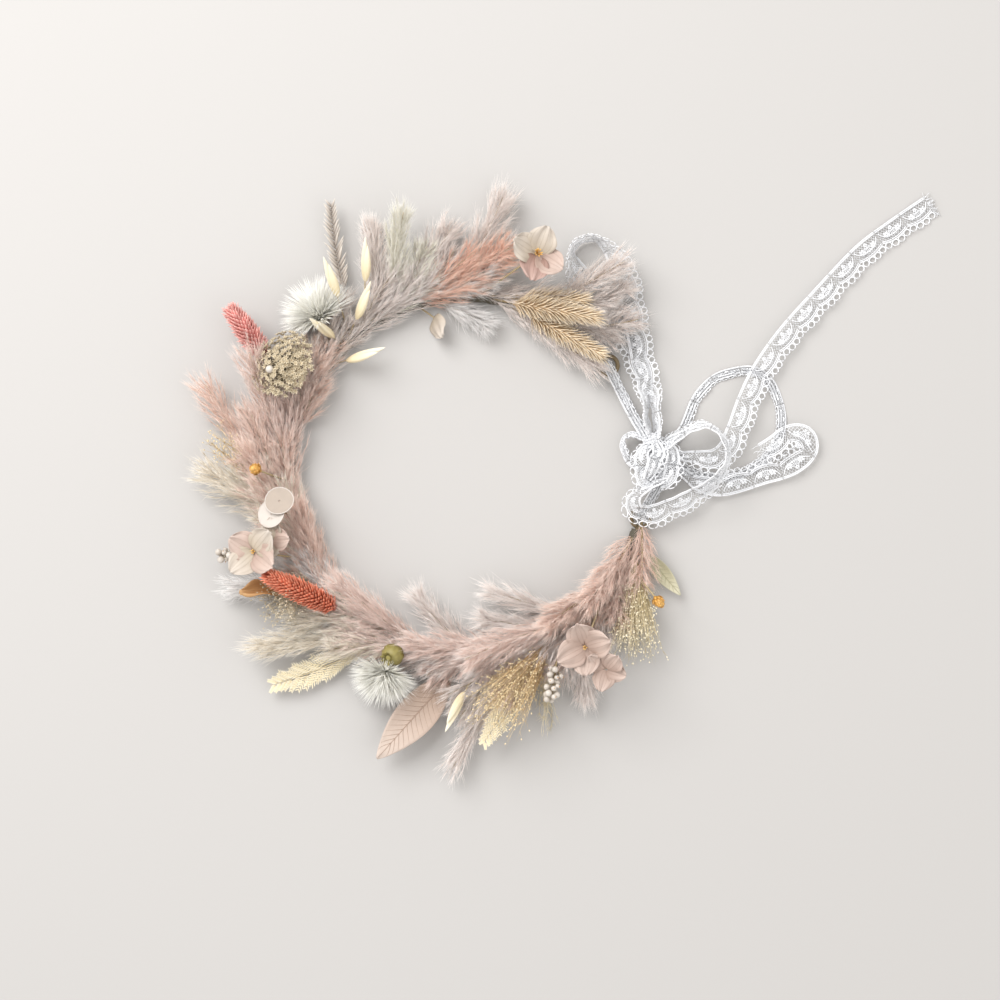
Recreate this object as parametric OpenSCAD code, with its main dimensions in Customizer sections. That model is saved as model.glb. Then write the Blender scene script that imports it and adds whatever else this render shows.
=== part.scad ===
// Dried flower crown: an open wire ring wrapped in tape, with dried stems bound on all the way
// round it, closed by one lace ribbon that is threaded through an eye at each end and tied in a bow.
// Lengths are millimetres and angles are degrees, anticlockwise from +X seen from above.

/* [Ring] */
// Centre of the crown to the middle of the wire
ring_r = 94; // [88:1:104]
// Angle of the ring's upper end, beside the gap
upper_end = 41; // [36:1:44]
// Angle of the ring's lower end, beside the gap
lower_end = 343; // [340:1:345]
// Half the thickness of the paper-covered wire
wire_r = 1.1; // [0.9:0.1:1.3]
// Outer radius of the floral tape sleeve
tape_r = 3.2; // [2.8:0.1:3.8]
// Length of wire left bare between the tape and each eye
bare_end = 1.6; // [1:0.2:3]
// Radius of each end eye, to the middle of its wire
eye_r = 5; // [4.6:0.1:5.6]

/* [Stems] */
// Half the thickness of a bound stem
stem_r = 0.8; // [0.6:0.1:0.9]
// Gap between a bound stem and the wire under the tape
stem_gap = 0.3; // [0.2:0.05:0.4]
// Thickness of a pressed petal
petal_t = 1.2; // [1:0.1:1.6]
// Radius of a hydrangea petal
petal_r = 7.5; // [6:0.5:8]
// Radius of a white honesty disc
disc_r = 6.6; // [5:0.2:8]
// Thickness of a pressed leaf or fern
leaf_t = 1.6; // [1.2:0.1:2]
// Head radius of a white bristle daisy
daisy_r = 13; // [10:0.5:14]
// Radius of the coral flower spikes
spike_r = 7.5; // [6:0.5:8.5]
// Half the width of an oat seed
oat_r = 3.2; // [2.4:0.2:3.6]
// Radius of a small berry
berry_r = 2.4; // [1.8:0.2:3]

/* [Ribbon] */
// Full width of the lace ribbon
ribbon_w = 13; // [10:0.5:14]
// Width where the ribbon is gathered lengthwise
gathered_w = 5; // [4:0.5:6]
// Thickness of the limp ribbon's plain solid
ribbon_t = 0.8; // [0.6:0.1:1]
// Half the thickness of the knot
knot_r = 6.5; // [6:0.25:7]
// Length of the knot
knot_len = 26; // [22:1:30]
// Running gap between the knot and a tail that swings at it
tail_gap = 1.4; // [1.2:0.1:2]

/* [Hidden] */
// Height of the wire over the table that the crown lies on.
ring_z = tape_r;
// A stem starts beside the wire, inside the tape.
stem_seat = wire_r + stem_gap + stem_r;
arc_deg = lower_end - upper_end;
bare_deg = bare_end / ring_r * 180 / PI;

// Soft plumes: name, angle on the ring, splay, pitch, length, half width, colour.
PLUMES = [
    ["end_plume", 333, -13, 30, 42, 5, "#caa08f"],
    ["shoulder_plume", 319, -17, 34, 46, 5.5, "#cda594"],
    ["drop_plume", 309, 54, 6, 48, 4.5, "#cdb3a9"],
    ["inner_plume_a", 306, -53, 7, 50, 4.5, "#b8a099"],
    ["inner_plume_b", 299, -36, 8, 42, 4, "#bda59d"],
    ["bottom_plume_a", 303, -14, 27, 68, 6, "#cfaa9b"],
    ["bottom_plume_b", 276, -12, 18, 48, 5.5, "#cfae9f"],
    ["hanging_plume", 286, 45, 4, 78, 4.5, "#cdb8ac"],
    ["inner_tip_plume", 270, -47, 8, 45, 4.5, "#bda69e"],
    ["turned_plume", 250, -20, 22, 60, 5, "#b9a29a"],
    ["side_plume", 239, 37, 8, 68, 5, "#d3c4b8"],
    ["grey_plume", 221, 46, 4, 56, 5, "#cfc3b9"],
    ["inner_left_plume", 214, -16, 14, 44, 4.5, "#c2a398"],
    ["left_plume_a", 200, 8, 17, 62, 5, "#c9a99c"],
    ["fan_plume", 196, 42, 7, 62, 6.5, "#d8c4ae"],
    ["left_plume_b", 185, 32, 6, 78, 5.5, "#c8a99d"],
    ["left_plume_c", 177, 20, 22, 72, 6, "#c7a79a"],
    ["left_plume_d", 167, -3, 10, 48, 5, "#c3a296"],
    ["pink_top_plume", 118, 68, 9, 52, 5, "#cdb7ac"],
    ["cream_top_plume", 114, 59, 24, 60, 4.5, "#d9d2b6"],
    ["mauve_plume", 110, 38, 8, 52, 6, "#c9b5ad"],
    ["peach_plume", 104, 16, 17, 60, 6.5, "#dba58d"],
    ["high_plume", 95, 57, 7, 64, 6, "#c9aca2"],
    ["white_inner_plume", 99, -35, 8, 30, 4, "#d0cac4"],
    ["gap_plume", 73, -20, 9, 58, 5, "#bfa89f"]
];
// The two plumes beside the upper end share a node.
END_PLUMES = [
    [64, 58, 20, 56, 5.5],
    [57, 62, 12, 42, 4]
];
// Feathery tufts, widest near the tip: name, angle, splay, pitch, length, half width, colour.
TUFTS = [
    ["end_broom", 336, 26, 12, 60, 8, "#c7b078"],
    ["low_broom", 299, 24, 24, 66, 8, "#cfae78"],
    ["curly_grass", 192, 31, 12, 60, 3, "#b99a63"],
    ["moss_tuft", 215, 84, 36, 36, 5, "#b3a25e"],
    ["dry_twigs", 295, 66, 4, 52, 4.5, "#cbb9a4"],
    ["floret_cluster", 150, 84, 53, 39, 8, "#c9bd8e"],
    ["seed_pod", 250.5, 52, 62, 25, 5, "#a39a52"]
];
// Flat pressed sprays: name, angle, splay, pitch, length, half width, colour.
SPRAYS = [
    ["end_leaf", 338, 62, 5, 36, 5, "#8d8a66"],
    ["skeleton_leaf", 270, 48, 9, 72, 12, "#cfb2a0"],
    ["low_fern", 290, 43, 16, 60, 7, "#dfd3b8"],
    ["cream_fern", 243, 49, 3, 66, 9, "#dcd3bd"],
    ["herringbone_spray", 128, 62, 5, 70, 4, "#b7ada0"]
];
// Flower heads and seeds that share a node with their kind: angle, splay, pitch, length.
DAISIES = [
    [247, 93, 26, 38],
    [136, 72, 24, 42]
];
// The last value is the length of the flower spike at the end of its stem.
CORAL_SPIKES = [
    [235, 8, 31, 66, 46],
    [157, 59, 14, 64, 32]
];
OATS = [
    [275, 57, 26, 48],
    [141, -36, 30, 34],
    [134, 96, 56, 34],
    [132.5, 22, 34, 40],
    [130.5, 66, 34, 50],
    [125, 52, 26, 50]
];
GRASSES = [
    [82, -4, 28, 64],
    [78.5, 9, 18, 46],
    [75.5, -16, 22, 60]
];
// Hydrangea sprigs: name, angle, splay, pitch, length.
HYDRANGEAS = [
    ["low_hydrangea", 320, 18, 44, 42],
    ["left_hydrangea", 208, 52, 46, 38],
    ["top_hydrangea", 86, 37, 38, 44]
];
BERRY_SPRAYS = [
    [301, 50, 38, 40],
    [203, 74, 14, 40]
];
BUDS = [
    [331, 68, 37, 36],
    [182, 66, 60, 36]
];
LOOSE_PETALS = [
    [106, -80, 30, 14],
    [211, 78, 30, 38]
];
HONESTY = [194, 50, 70, 33];
stem_share = 0.3;
grass_r = 3.6;
bud_r = 3;

// The knot's middle, and the direction of its long side.
knot_at = [100, 10, knot_r + 0.5];
knot_turn = 105;
root_share = 0.3;
// A tail's root: clear of the knot's side by the gap, and this far along the knot.
function beside_knot(shift, z) = concat(
    [for (i = [0, 1]) knot_at[i]
        + (knot_r + tail_gap) * [sin(knot_turn), -cos(knot_turn)][i]
        + shift * [cos(knot_turn), sin(knot_turn)][i]],
    [z, 0, root_share]
);

// The ribbon's routes: points chosen along the strip's middle, each with the strip's roll in degrees.
// A positive roll lifts the edge on the left of the route.
UPPER_TIE = [
    [95, 18, 8, 0], [86, 34, 6, 0], [79, 48, 5.6, 0], [75, 56, 5.4, 0], [73.4, 59.2, 4.6, 0],
    [73.2, 59.8, 3.2, 0], [73.4, 59.2, 1.7, 0], [75, 56, 0.9, 0], [79, 48, 0.8, 0], [86, 34, 1.4, 0],
    [94.6, 19, 4, 0]
];
LOWER_TIE = [
    [103, -1, 6, 0], [99, -9, 5.7, 0], [94, -18, 5.4, 0], [92, -21.6, 4.6, 0], [91.7, -22.2, 3.2, 0],
    [92, -21.6, 1.7, 0], [94, -18, 0.9, 0], [99, -9, 0.9, 0], [103, -1, 3, 0]
];
TOP_LOOP = [
    [96, 21, 9, 75], [94, 30, 8, 75], [93.5, 38, 7.2, 65], [92, 49, 5.6, 30], [88.5, 61, 2.6, 5],
    [83, 74, 1, 0], [75.5, 87, 1, 0], [66, 98, 1.2, 0], [58, 106, 3.6, 20], [54.5, 114, 6.4, 60],
    [56, 121, 7.4, 75], [63, 125, 7.6, 78], [71, 123, 7.2, 70], [78, 116, 5.8, 45], [84, 105, 4, 10],
    [87, 92, 3.6, 0], [90, 76, 3.4, 0], [93, 60, 3.4, 5], [96.5, 47, 4.6, 25], [99.5, 36, 7, 65],
    [100, 24, 8, 75], [99, 18, 9, 75]
];
SIDE_LOOP = [
    [97, 16, 8, 60], [88, 21, 6.5, 60], [82.5, 19, 6, 62], [83, 12, 6, 62], [89, 4, 6, 60],
    [98, 1, 7, 60]
];
BOW_LOOP = [
    [101, 15, 9, -60], [110, 20, 12, -65], [118, 25, 14, -70], [126, 26, 14.5, -72],
    [134, 20, 15, -74], [137, 10, 15, -72], [133, -1, 14, -60], [123, -10, 12, -40],
    [110, -17, 10.5, -25], [97, -22, 9.6, -18], [88, -20, 10.5, -30], [86.5, -13, 12, -50],
    [92, -7, 12, -60], [102, -1, 11, -65]
];
BACK_LOOP = [
    [104, 14, 3, 0], [114, 24, 1.6, 0], [121, 40, 1, 0], [130, 50, 1, 0], [140, 54, 1, 0],
    [151, 55, 1, 0], [159, 50, 1, 0], [164, 40, 1, 0], [166, 28, 1, 0], [163, 16, 1, 0],
    [154, 6, 1, 0], [142, 0, 1, 0], [128, -1, 1, 0], [114, 3, 1, 0], [107, 6, 1.4, 0], [101, 8, 2.6, 0]
];
// The tails have a fifth value: the share of the ribbon's width, because they gather at the knot.
LONG_TAIL = concat([beside_knot(-3, 6.4)], [
    [115, 9, 6.4, 0, 0.55], [123, 7.5, 6.2, 0, 0.85], [131, 7.5, 6, 0, 1], [138, 13, 6, 0, 1],
    [143, 24, 6, 0, 1], [149, 40, 5.6, 0, 1], [157, 56, 5, 0, 1], [170, 74, 4.2, 0, 1],
    [188, 94, 3.2, 0, 1], [209, 116, 2, 0, 1], [226, 129, 1.4, 0, 1], [245, 142, 1.2, 0, 1]
]);
SHORT_TAIL = concat([beside_knot(-8, 3.8)], [
    [116, 0.5, 3.7, 0, 0.55], [124, -4, 3.6, 0, 0.85], [133, -5, 3.4, 0, 1], [143, -3, 3.4, 0, 1],
    [155, 1, 3.4, 0, 1], [166, 4, 3.4, 0, 1], [174, 8, 3.6, 0, 1], [179, 14, 4, 0, 1],
    [177, 20, 4.8, 0, 1], [170, 20, 5.4, 0, 1], [163, 15, 5.6, 0, 1], [156, 10.5, 5.6, 0, 1]
]);

$fn = 48;

function unit(v) = v / norm(v);

// Moves a shape drawn along +Z to a stem's place: it starts in the tape beside the wire at this angle,
// leans out of the ring by its splay, and rises by its pitch. The shape's flat side, X, faces down.
module on_ring(angle, splay, pitch) {
    outward = [cos(angle), sin(angle), 0];
    side = outward * sin(splay) * cos(pitch) + [0, 0, sin(pitch)];
    translate(outward * ring_r + [0, 0, ring_z] + unit(side) * stem_seat)
        rotate([0, 90 - pitch, angle - 90 + splay])
            children();
}

// A solid of revolution from a half outline that a function of 0 to 1 gives as [radius, share of length].
module spindle(outline, length) {
    rotate_extrude()
        polygon(concat([[0, 0]], [for (p = outline) [p[0], p[1] * length]], [[0, length]]));
}

// A stem that swells into a soft body, widest at share "fat" of its length.
function soft_outline(half_width, fat) = concat(
    [[stem_r, 0], [stem_r, fat * stem_share]],
    [for (s = [0.35, 0.7]) [stem_r + (half_width - stem_r) * s, fat * (stem_share + s * 0.5)]],
    [[half_width, fat]],
    [for (a = [30, 60, 80]) [half_width * cos(a), fat + (1 - fat) * sin(a)]]
);

module plume(length, half_width) { spindle(soft_outline(half_width, 0.6), length); }
module tuft(length, half_width) { spindle(soft_outline(half_width, 0.78), length); }

// A stem with a rounded body of its own length at the end.
module stem_and_body(length, body, half_width) {
    start = 1 - body / length;
    round_off = [for (a = [20:20:160]) [half_width * sin(a), start + (1 - start) * (1 - cos(a)) / 2]];
    spindle(concat([[stem_r, 0], [stem_r, start]], round_off), length);
}

module spray(length, half_width) {
    rotate([0, 90, 0])
        translate([0, 0, -leaf_t / 2])
            linear_extrude(leaf_t)
                polygon([
                    [0, -stem_r], [-length * 0.2, -stem_r], [-length * 0.4, -half_width * 0.8],
                    [-length * 0.6, -half_width], [-length * 0.8, -half_width * 0.6], [-length, 0],
                    [-length * 0.8, half_width * 0.6], [-length * 0.6, half_width],
                    [-length * 0.4, half_width * 0.8], [-length * 0.2, stem_r], [0, stem_r]
                ]);
}

module daisy(length) {
    spindle([
        [stem_r, 0], [stem_r, 0.35], [daisy_r * 0.35, 0.45], [daisy_r, 0.9], [daisy_r * 0.7, 0.97]
    ], length);
}

// A stem that carries four petals in a shallow cup.
module petal_sprig(length, count) {
    cylinder(h = length, r = stem_r);
    for (i = [0:count - 1])
        translate([0, 0, length - 1])
            rotate([0, 0, i * 360 / count + 45])
                rotate([0, 78, 0])
                    translate([0, 0, petal_r + 0.4])
                        rotate([0, 90, 0])
                            cylinder(h = petal_t, r = petal_r, center = true);
}

module berry_spray(length) {
    cylinder(h = length, r = stem_r);
    for (i = [0:4])
        rotate([0, 0, i * 137])
            translate([berry_r * 0.9, 0, length - i * berry_r * 1.7])
                sphere(berry_r);
}

// The strip's frame: a sideways direction carried along the route without twisting it.
function along(p, i) = unit(p[min(i + 1, len(p) - 1)] - p[max(i - 1, 0)]);
function carried(s, t) = unit(s - t * (s * t));
function sideways(p, first) = [
    for (i = 0, s = carried(first, along(p, 0)); i < len(p);
         i = i + 1, s = i < len(p) ? carried(s, along(p, i)) : s) s
];

// A smooth curve through the route's points, three steps to a span.
function spline(a, b, c, d, t) =
    0.5 * (2 * b + (c - a) * t + (2 * a - 5 * b + 4 * c - d) * t * t + (3 * b - a - 3 * c + d) * t * t * t);
function smooth(p, steps = 3) = concat(
    [for (i = [0:len(p) - 2], k = [0:steps - 1])
        spline(p[max(i - 1, 0)], p[i], p[i + 1], p[min(i + 2, len(p) - 1)], k / steps)],
    [p[len(p) - 1]]
);

// One flat strip swept along a route whose points are [x, y, z, roll] or [x, y, z, roll, share of width].
// It starts level unless its first sideways direction is given, for a route that turns over.
// Its middle stands high enough to keep a rolled strip's lower edge on the table.
module strip(route, width, first = [0, 0, 0]) {
    q = smooth([for (r = route) len(r) > 4 ? r : concat(r, 1)]);
    p = [for (r = q) [r[0], r[1], r[2]]];
    level = [for (i = [0:len(p) - 1]) let (t = along(p, i)) unit([-t[1], t[0], 0])];
    s = norm(first) > 0 ? sideways(p, first) : level;
    corners = [
        for (i = [0:len(p) - 1])
            let (t = along(p, i), n = cross(t, s[i]), roll = q[i][3])
            let (u = s[i] * cos(roll) + n * sin(roll), v = n * cos(roll) - s[i] * sin(roll))
            let (low = abs(u[2]) * q[i][4] * width / 2 + abs(v[2]) * ribbon_t / 2)
            for (c = [[-1, -1], [1, -1], [1, 1], [-1, 1]])
                [p[i][0], p[i][1], max(p[i][2], low)]
                    + u * c[0] * q[i][4] * width / 2 + v * c[1] * ribbon_t / 2
    ];
    last = 4 * (len(p) - 1);
    polyhedron(corners, concat(
        [[0, 1, 2], [0, 2, 3], [last, last + 2, last + 1], [last, last + 3, last + 2]],
        [for (i = [0:len(p) - 2], k = [0:3])
            let (a = 4 * i + k, b = 4 * i + (k + 1) % 4)
            each [[a, a + 4, b], [b, a + 4, b + 4]]]
    ));
}

module end_eye(angle, turn) {
    translate([ring_r * cos(angle), ring_r * sin(angle), ring_z])
        rotate([0, 0, angle + turn])
            translate([eye_r, 0, 0])
                rotate_extrude()
                    translate([eye_r, 0])
                        circle(wire_r);
}

module band_wire() {
    color("#6b5d45") {
        translate([0, 0, ring_z])
            rotate([0, 0, upper_end])
                rotate_extrude(angle = arc_deg)
                    translate([ring_r, 0])
                        circle(wire_r);
        end_eye(upper_end, -90);
        end_eye(lower_end, 90);
    }
}

module band_tape() {
    color("#4a4436")
        translate([0, 0, ring_z])
            rotate([0, 0, upper_end + bare_deg])
                rotate_extrude(angle = arc_deg - 2 * bare_deg)
                    translate([ring_r, 0])
                        difference() {
                            circle(tape_r);
                            circle(wire_r);
                        }
}

module end_plumes() {
    color("#c9b3a8")
        for (row = END_PLUMES)
            on_ring(row[0], row[1], row[2])
                plume(row[3], row[4]);
}

module white_daisies() {
    color("#eceae2")
        for (row = DAISIES)
            on_ring(row[0], row[1], row[2])
                daisy(row[3]);
}

module coral_spikes() {
    color("#e08a6c")
        for (row = CORAL_SPIKES)
            on_ring(row[0], row[1], row[2])
                stem_and_body(row[3], row[4], spike_r);
}

module oat_seeds() {
    color("#e2d6b4")
        for (row = OATS)
            on_ring(row[0], row[1], row[2])
                stem_and_body(row[3], 25, oat_r);
}

module grass_ears() {
    color("#d8bc92")
        for (row = GRASSES)
            on_ring(row[0], row[1], row[2])
                plume(row[3], grass_r);
}

module berry_sprays() {
    color("#ece6da")
        for (row = BERRY_SPRAYS)
            on_ring(row[0], row[1], row[2])
                berry_spray(row[3]);
}

module gold_buds() {
    color("#c08f45")
        for (row = BUDS)
            on_ring(row[0], row[1], row[2])
                stem_and_body(row[3], 2.6 * bud_r, bud_r);
}

module loose_petals() {
    color("#dcc2a4")
        for (row = LOOSE_PETALS)
            on_ring(row[0], row[1], row[2])
                petal_sprig(row[3], 1);
}

module honesty_discs() {
    color("#efe9df")
        on_ring(HONESTY[0], HONESTY[1], HONESTY[2]) {
            cylinder(h = HONESTY[3], r = stem_r);
            for (side = [-1, 1])
                translate([side * disc_r * 0.7, -side * disc_r * 0.6, HONESTY[3] - 3 + side * petal_t])
                    rotate([side * 6, 12, 0])
                        cylinder(h = petal_t, r = disc_r, center = true);
        }
}

module soft_plume(row) {
    color(row[6])
        on_ring(row[1], row[2], row[3])
            plume(row[4], row[5]);
}

module soft_tuft(row) {
    color(row[6])
        on_ring(row[1], row[2], row[3])
            tuft(row[4], row[5]);
}

module pressed_spray(row) {
    color(row[6])
        on_ring(row[1], row[2], row[3])
            spray(row[4], row[5]);
}

module hydrangea(row) {
    color("#dcb9a8")
        on_ring(row[1], row[2], row[3])
            petal_sprig(row[4], 4);
}

module ribbon_knot() {
    color("white") {
        translate(knot_at)
            rotate([90, 0, knot_turn - 90])
                translate([0, 0, -knot_len / 2])
                    spindle([for (a = [15:15:165]) [knot_r * pow(sin(a), 0.6), (1 - cos(a)) / 2]], knot_len);
        strip(SIDE_LOOP, gathered_w);
    }
}

module ribbon_upper_tie() {
    color("white") strip(UPPER_TIE, gathered_w, first = [0.87, 0.5, 0]);
}

module ribbon_lower_tie() {
    color("white") strip(LOWER_TIE, gathered_w, first = [0.87, -0.5, 0]);
}

module ribbon_top_loop() {
    color("white") strip(TOP_LOOP, ribbon_w);
}

module ribbon_bow_loop() {
    color("white") strip(BOW_LOOP, ribbon_w);
}

module ribbon_back_loop() {
    color("white") strip(BACK_LOOP, gathered_w);
}

module ribbon_long_tail() {
    color("white") strip(LONG_TAIL, ribbon_w);
}

module ribbon_short_tail() {
    color("white") strip(SHORT_TAIL, ribbon_w);
}

band_wire();
band_tape();
end_plumes();
white_daisies();
coral_spikes();
oat_seeds();
grass_ears();
berry_sprays();
gold_buds();
loose_petals();
honesty_discs();
for (row = PLUMES) soft_plume(row);
for (row = TUFTS) soft_tuft(row);
for (row = SPRAYS) pressed_spray(row);
for (row = HYDRANGEAS) hydrangea(row);
ribbon_knot();
ribbon_upper_tie();
ribbon_lower_tie();
ribbon_top_loop();
ribbon_bow_loop();
ribbon_back_loop();
ribbon_long_tail();
ribbon_short_tail();
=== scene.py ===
"""Looks of the dried flower crown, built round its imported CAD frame.

The builders below work in millimetres, like the CAD. A Piece gathers closed surfaces, and turns them
into one Blender mesh in metres. Each piece takes its place from the CAD node that it stands for.
"""

import bpy
import numpy as np
from numpy import arange, arctan2, array, broadcast_to, concatenate, cos, cross, gradient, interp, linspace
from numpy import maximum, minimum, pi, radians, sin, sqrt, stack
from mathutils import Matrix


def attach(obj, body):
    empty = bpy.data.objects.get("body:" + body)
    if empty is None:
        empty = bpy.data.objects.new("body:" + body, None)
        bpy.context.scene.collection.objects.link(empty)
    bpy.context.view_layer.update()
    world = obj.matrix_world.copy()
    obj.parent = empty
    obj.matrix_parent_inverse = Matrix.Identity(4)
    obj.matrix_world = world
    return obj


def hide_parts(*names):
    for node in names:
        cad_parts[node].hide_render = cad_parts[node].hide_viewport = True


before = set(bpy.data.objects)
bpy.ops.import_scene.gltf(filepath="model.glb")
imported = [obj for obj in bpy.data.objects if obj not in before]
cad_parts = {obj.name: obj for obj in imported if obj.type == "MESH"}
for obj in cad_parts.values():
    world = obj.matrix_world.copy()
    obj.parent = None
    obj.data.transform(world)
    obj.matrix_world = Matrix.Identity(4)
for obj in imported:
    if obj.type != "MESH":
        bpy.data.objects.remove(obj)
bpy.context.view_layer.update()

MM = 0.001
FLOOR_GAP = 0.1


# ---------------------------------------------------------------- camera and light

PHOTO_CENTRE = (0.017, -0.0133)
VIEW_WIDTH = 0.53
CAMERA_HEIGHT = 1.5
SENSOR_WIDTH = 36.0


def add_camera():
    """Looks straight down on the table, as the photograph does."""
    data = bpy.data.cameras.new("camera")
    data.sensor_width = SENSOR_WIDTH
    data.lens = SENSOR_WIDTH * CAMERA_HEIGHT / VIEW_WIDTH
    camera = bpy.data.objects.new("camera", data)
    camera.location = (*PHOTO_CENTRE, CAMERA_HEIGHT)
    bpy.context.scene.collection.objects.link(camera)
    bpy.context.scene.camera = camera


def add_area_light(name, location, size, energy):
    data = bpy.data.lights.new(name, "AREA")
    data.size = size
    data.energy = energy
    light = bpy.data.objects.new(name, data)
    light.location = location
    light.rotation_euler = (-light.location).to_track_quat("-Z", "Y").to_euler()
    bpy.context.scene.collection.objects.link(light)


add_camera()


# ---------------------------------------------------------------- vectors and meshes

# Leaves and hairs that follow one another on a stem are turned by the golden angle, in radians. SPIRAL
# is the round number for loose heads.
GOLDEN_ANGLE = 2.399963
SPIRAL = 2.4


def unit(v):
    """Unit vectors along the last axis."""
    return v / maximum(np.linalg.norm(v, axis=-1, keepdims=True), 1e-12)


def dice(name):
    """Random numbers that are the same on each run, and differ from name to name."""
    return np.random.default_rng([ord(c) for c in name])


def across(axis):
    """Two unit vectors at right angles to each axis and to each other."""
    helper = np.where(np.abs(axis[..., 2:]) < 0.9, [0.0, 0.0, 1.0], [1.0, 0.0, 0.0])
    a = unit(cross(axis, helper))
    return a, cross(axis, a)


def square(v, way):
    """The part of v at right angles to way, as a unit vector."""
    return unit(v - way * np.sum(v * way, axis=-1, keepdims=True))


def carried(tangent, first):
    """The first sideways direction, carried along a line without twisting it, and its partner."""
    a = np.zeros_like(tangent)
    previous = first
    for i, t in enumerate(tangent):
        a[i] = previous = square(previous, t)
    return a, cross(tangent, a)


def rays(root, way, length, t):
    """Points at the shares t of straight lines that leave each root along its way."""
    return root[:, None] + way[:, None] * (length[:, None] * t)[..., None]


def fan_out(direction, angle, turn):
    """Directions that leave the given ones at an angle, turned round them."""
    a, b = across(direction)
    radial = a * cos(turn)[..., None] + b * sin(turn)[..., None]
    return direction * cos(angle)[..., None] + radial * sin(angle)[..., None], radial


def around(sides):
    return arange(sides) * 2 * pi / sides


def ring_quads(rings, sides):
    """The faces between rings of points, and each point's number in its ring with the next one's."""
    i = arange(sides)
    j = (i + 1) % sides
    ring = stack([i, j, j + sides, i + sides], axis=1)
    return (ring[None] + (arange(rings - 1) * sides)[:, None, None]).reshape(-1, 4), i, j


class Piece:
    """Closed surfaces that become one mesh, with how far along its strand each point is, and its tone."""

    def __init__(self, name):
        self.name = name
        self.points, self.tips, self.tones = [], [], []
        self.faces = {4: [np.zeros((0, 4), int)], 3: [np.zeros((0, 3), int)]}
        self.looks = {4: [], 3: []}
        self.count = 0

    def add(self, points, quads, triangles, tip, tone, look):
        self.points.append(points)
        for corners, faces in ((4, quads), (3, triangles)):
            self.faces[corners].append(faces + self.count)
            self.looks[corners].append(np.full(len(faces), look))
        self.tips.append(broadcast_to(tip, len(points)))
        self.tones.append(broadcast_to(tone, len(points)))
        self.count += len(points)

    def strands(self, line, wide, thick=None, side=None, sides=3, tone=None, look=0, tip=None):
        """Closed tubes along n lines of k points. They end in a point, and thick flattens them."""
        line = array(line, float)
        n, k, _ = line.shape
        wide = broadcast_to(wide, (n, k))
        thick = wide if thick is None else broadcast_to(thick, (n, k))
        line[..., 2] = maximum(line[..., 2], FLOOR_GAP + thick)
        tangent = unit(gradient(line, axis=1))
        if side is None:
            a, b = across(tangent)
        else:
            a = square(np.asarray(side, float).reshape(-1, 1, 3), tangent)
            b = cross(tangent, a)
        turn = around(sides)
        rings = line[:, :-1, None] \
            + a[:, :-1, None] * (wide[:, :-1, None] * cos(turn))[..., None] \
            + b[:, :-1, None] * (thick[:, :-1, None] * sin(turn))[..., None]
        points = concatenate([rings.reshape(n, -1, 3), line[:, -1:]], axis=1)
        per = (k - 1) * sides + 1
        quads, i, j = ring_quads(k - 1, sides)
        last = (k - 2) * sides
        triangles = concatenate([stack([last + i, last + j, np.full(sides, per - 1)], axis=1),
                                    stack([np.zeros(sides - 2, int), i[2:], i[1:-1]], axis=1)])
        first = (arange(n) * per)[:, None, None]
        along = broadcast_to(linspace(0, 1, k) if tip is None else tip, (n, k))
        along = concatenate([np.repeat(along[:, :-1], sides, axis=1), along[:, -1:]], axis=1)
        tone = np.full(n, 0.5) if tone is None else broadcast_to(tone, n)
        self.add(points.reshape(-1, 3), (quads[None] + first).reshape(-1, 4),
                 (triangles[None] + first).reshape(-1, 3), along.ravel(), np.repeat(tone, per), look)

    def tube(self, line, radii, sides=12, tone=0.5, look=0, tip=None):
        """One closed tube with a radius for each point of its line, or for each point and side."""
        line = np.asarray(line, float)
        k = len(line)
        radii = np.asarray(radii, float)
        radii = broadcast_to(radii[:, None] if radii.ndim == 1 else radii, (k, sides))
        tangent = unit(gradient(line, axis=0))
        a, b = carried(tangent, across(tangent[:1])[0][0])
        turn = around(sides)
        rings = line[:, None] + a[:, None] * (radii * cos(turn))[..., None] \
            + b[:, None] * (radii * sin(turn))[..., None]
        points = concatenate([rings.reshape(-1, 3), line[:1], line[-1:]])
        quads, i, j = ring_quads(k, sides)
        last = (k - 1) * sides
        ends = [stack([j, i, np.full(sides, k * sides)], axis=1),
                stack([last + i, last + j, np.full(sides, k * sides + 1)], axis=1)]
        along = linspace(0, 1, k) if tip is None else broadcast_to(tip, k)
        along = concatenate([np.repeat(along, sides), along[:1], along[-1:]])
        self.add(points, quads, concatenate(ends), along, tone, look)

    def shell(self, grid, thickness, tone=0.5, look=0, tip=None, joined=False):
        """A thin closed sheet through a grid of points. joined runs its last column into its first."""
        grid = np.asarray(grid, float)
        rows, columns, _ = grid.shape
        wrapped = concatenate([grid[:, -1:], grid, grid[:, :1]], axis=1)
        sideways = gradient(wrapped, axis=1)[:, 1:-1] if joined else gradient(grid, axis=1)
        normal = unit(cross(gradient(grid, axis=0), sideways))
        top = (grid + normal * thickness / 2).reshape(-1, 3)
        low = (grid - normal * thickness / 2).reshape(-1, 3)
        at = arange(rows * columns).reshape(rows, columns)
        if joined:
            at = concatenate([at, at[:, :1]], axis=1)
            rim = concatenate([at[-1, :-1], at[0, :0:-1]])
            after = concatenate([at[-1, 1:], at[0, -2::-1]])
        else:
            rim = concatenate([at[:, 0], at[-1, 1:], at[-2::-1, -1], at[0, -2:0:-1]])
            after = np.roll(rim, -1)
        face = stack([at[:-1, :-1], at[1:, :-1], at[1:, 1:], at[:-1, 1:]], axis=-1).reshape(-1, 4)
        under = rows * columns
        wall = stack([rim, rim + under, after + under, after], axis=1)
        quads = concatenate([face, face[:, ::-1] + under, wall])
        along = broadcast_to(linspace(0, 1, rows) if tip is None else tip, rows)
        self.add(concatenate([top, low]), quads, self.faces[3][0], np.tile(np.repeat(along, columns), 2),
                 tone, look)

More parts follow.
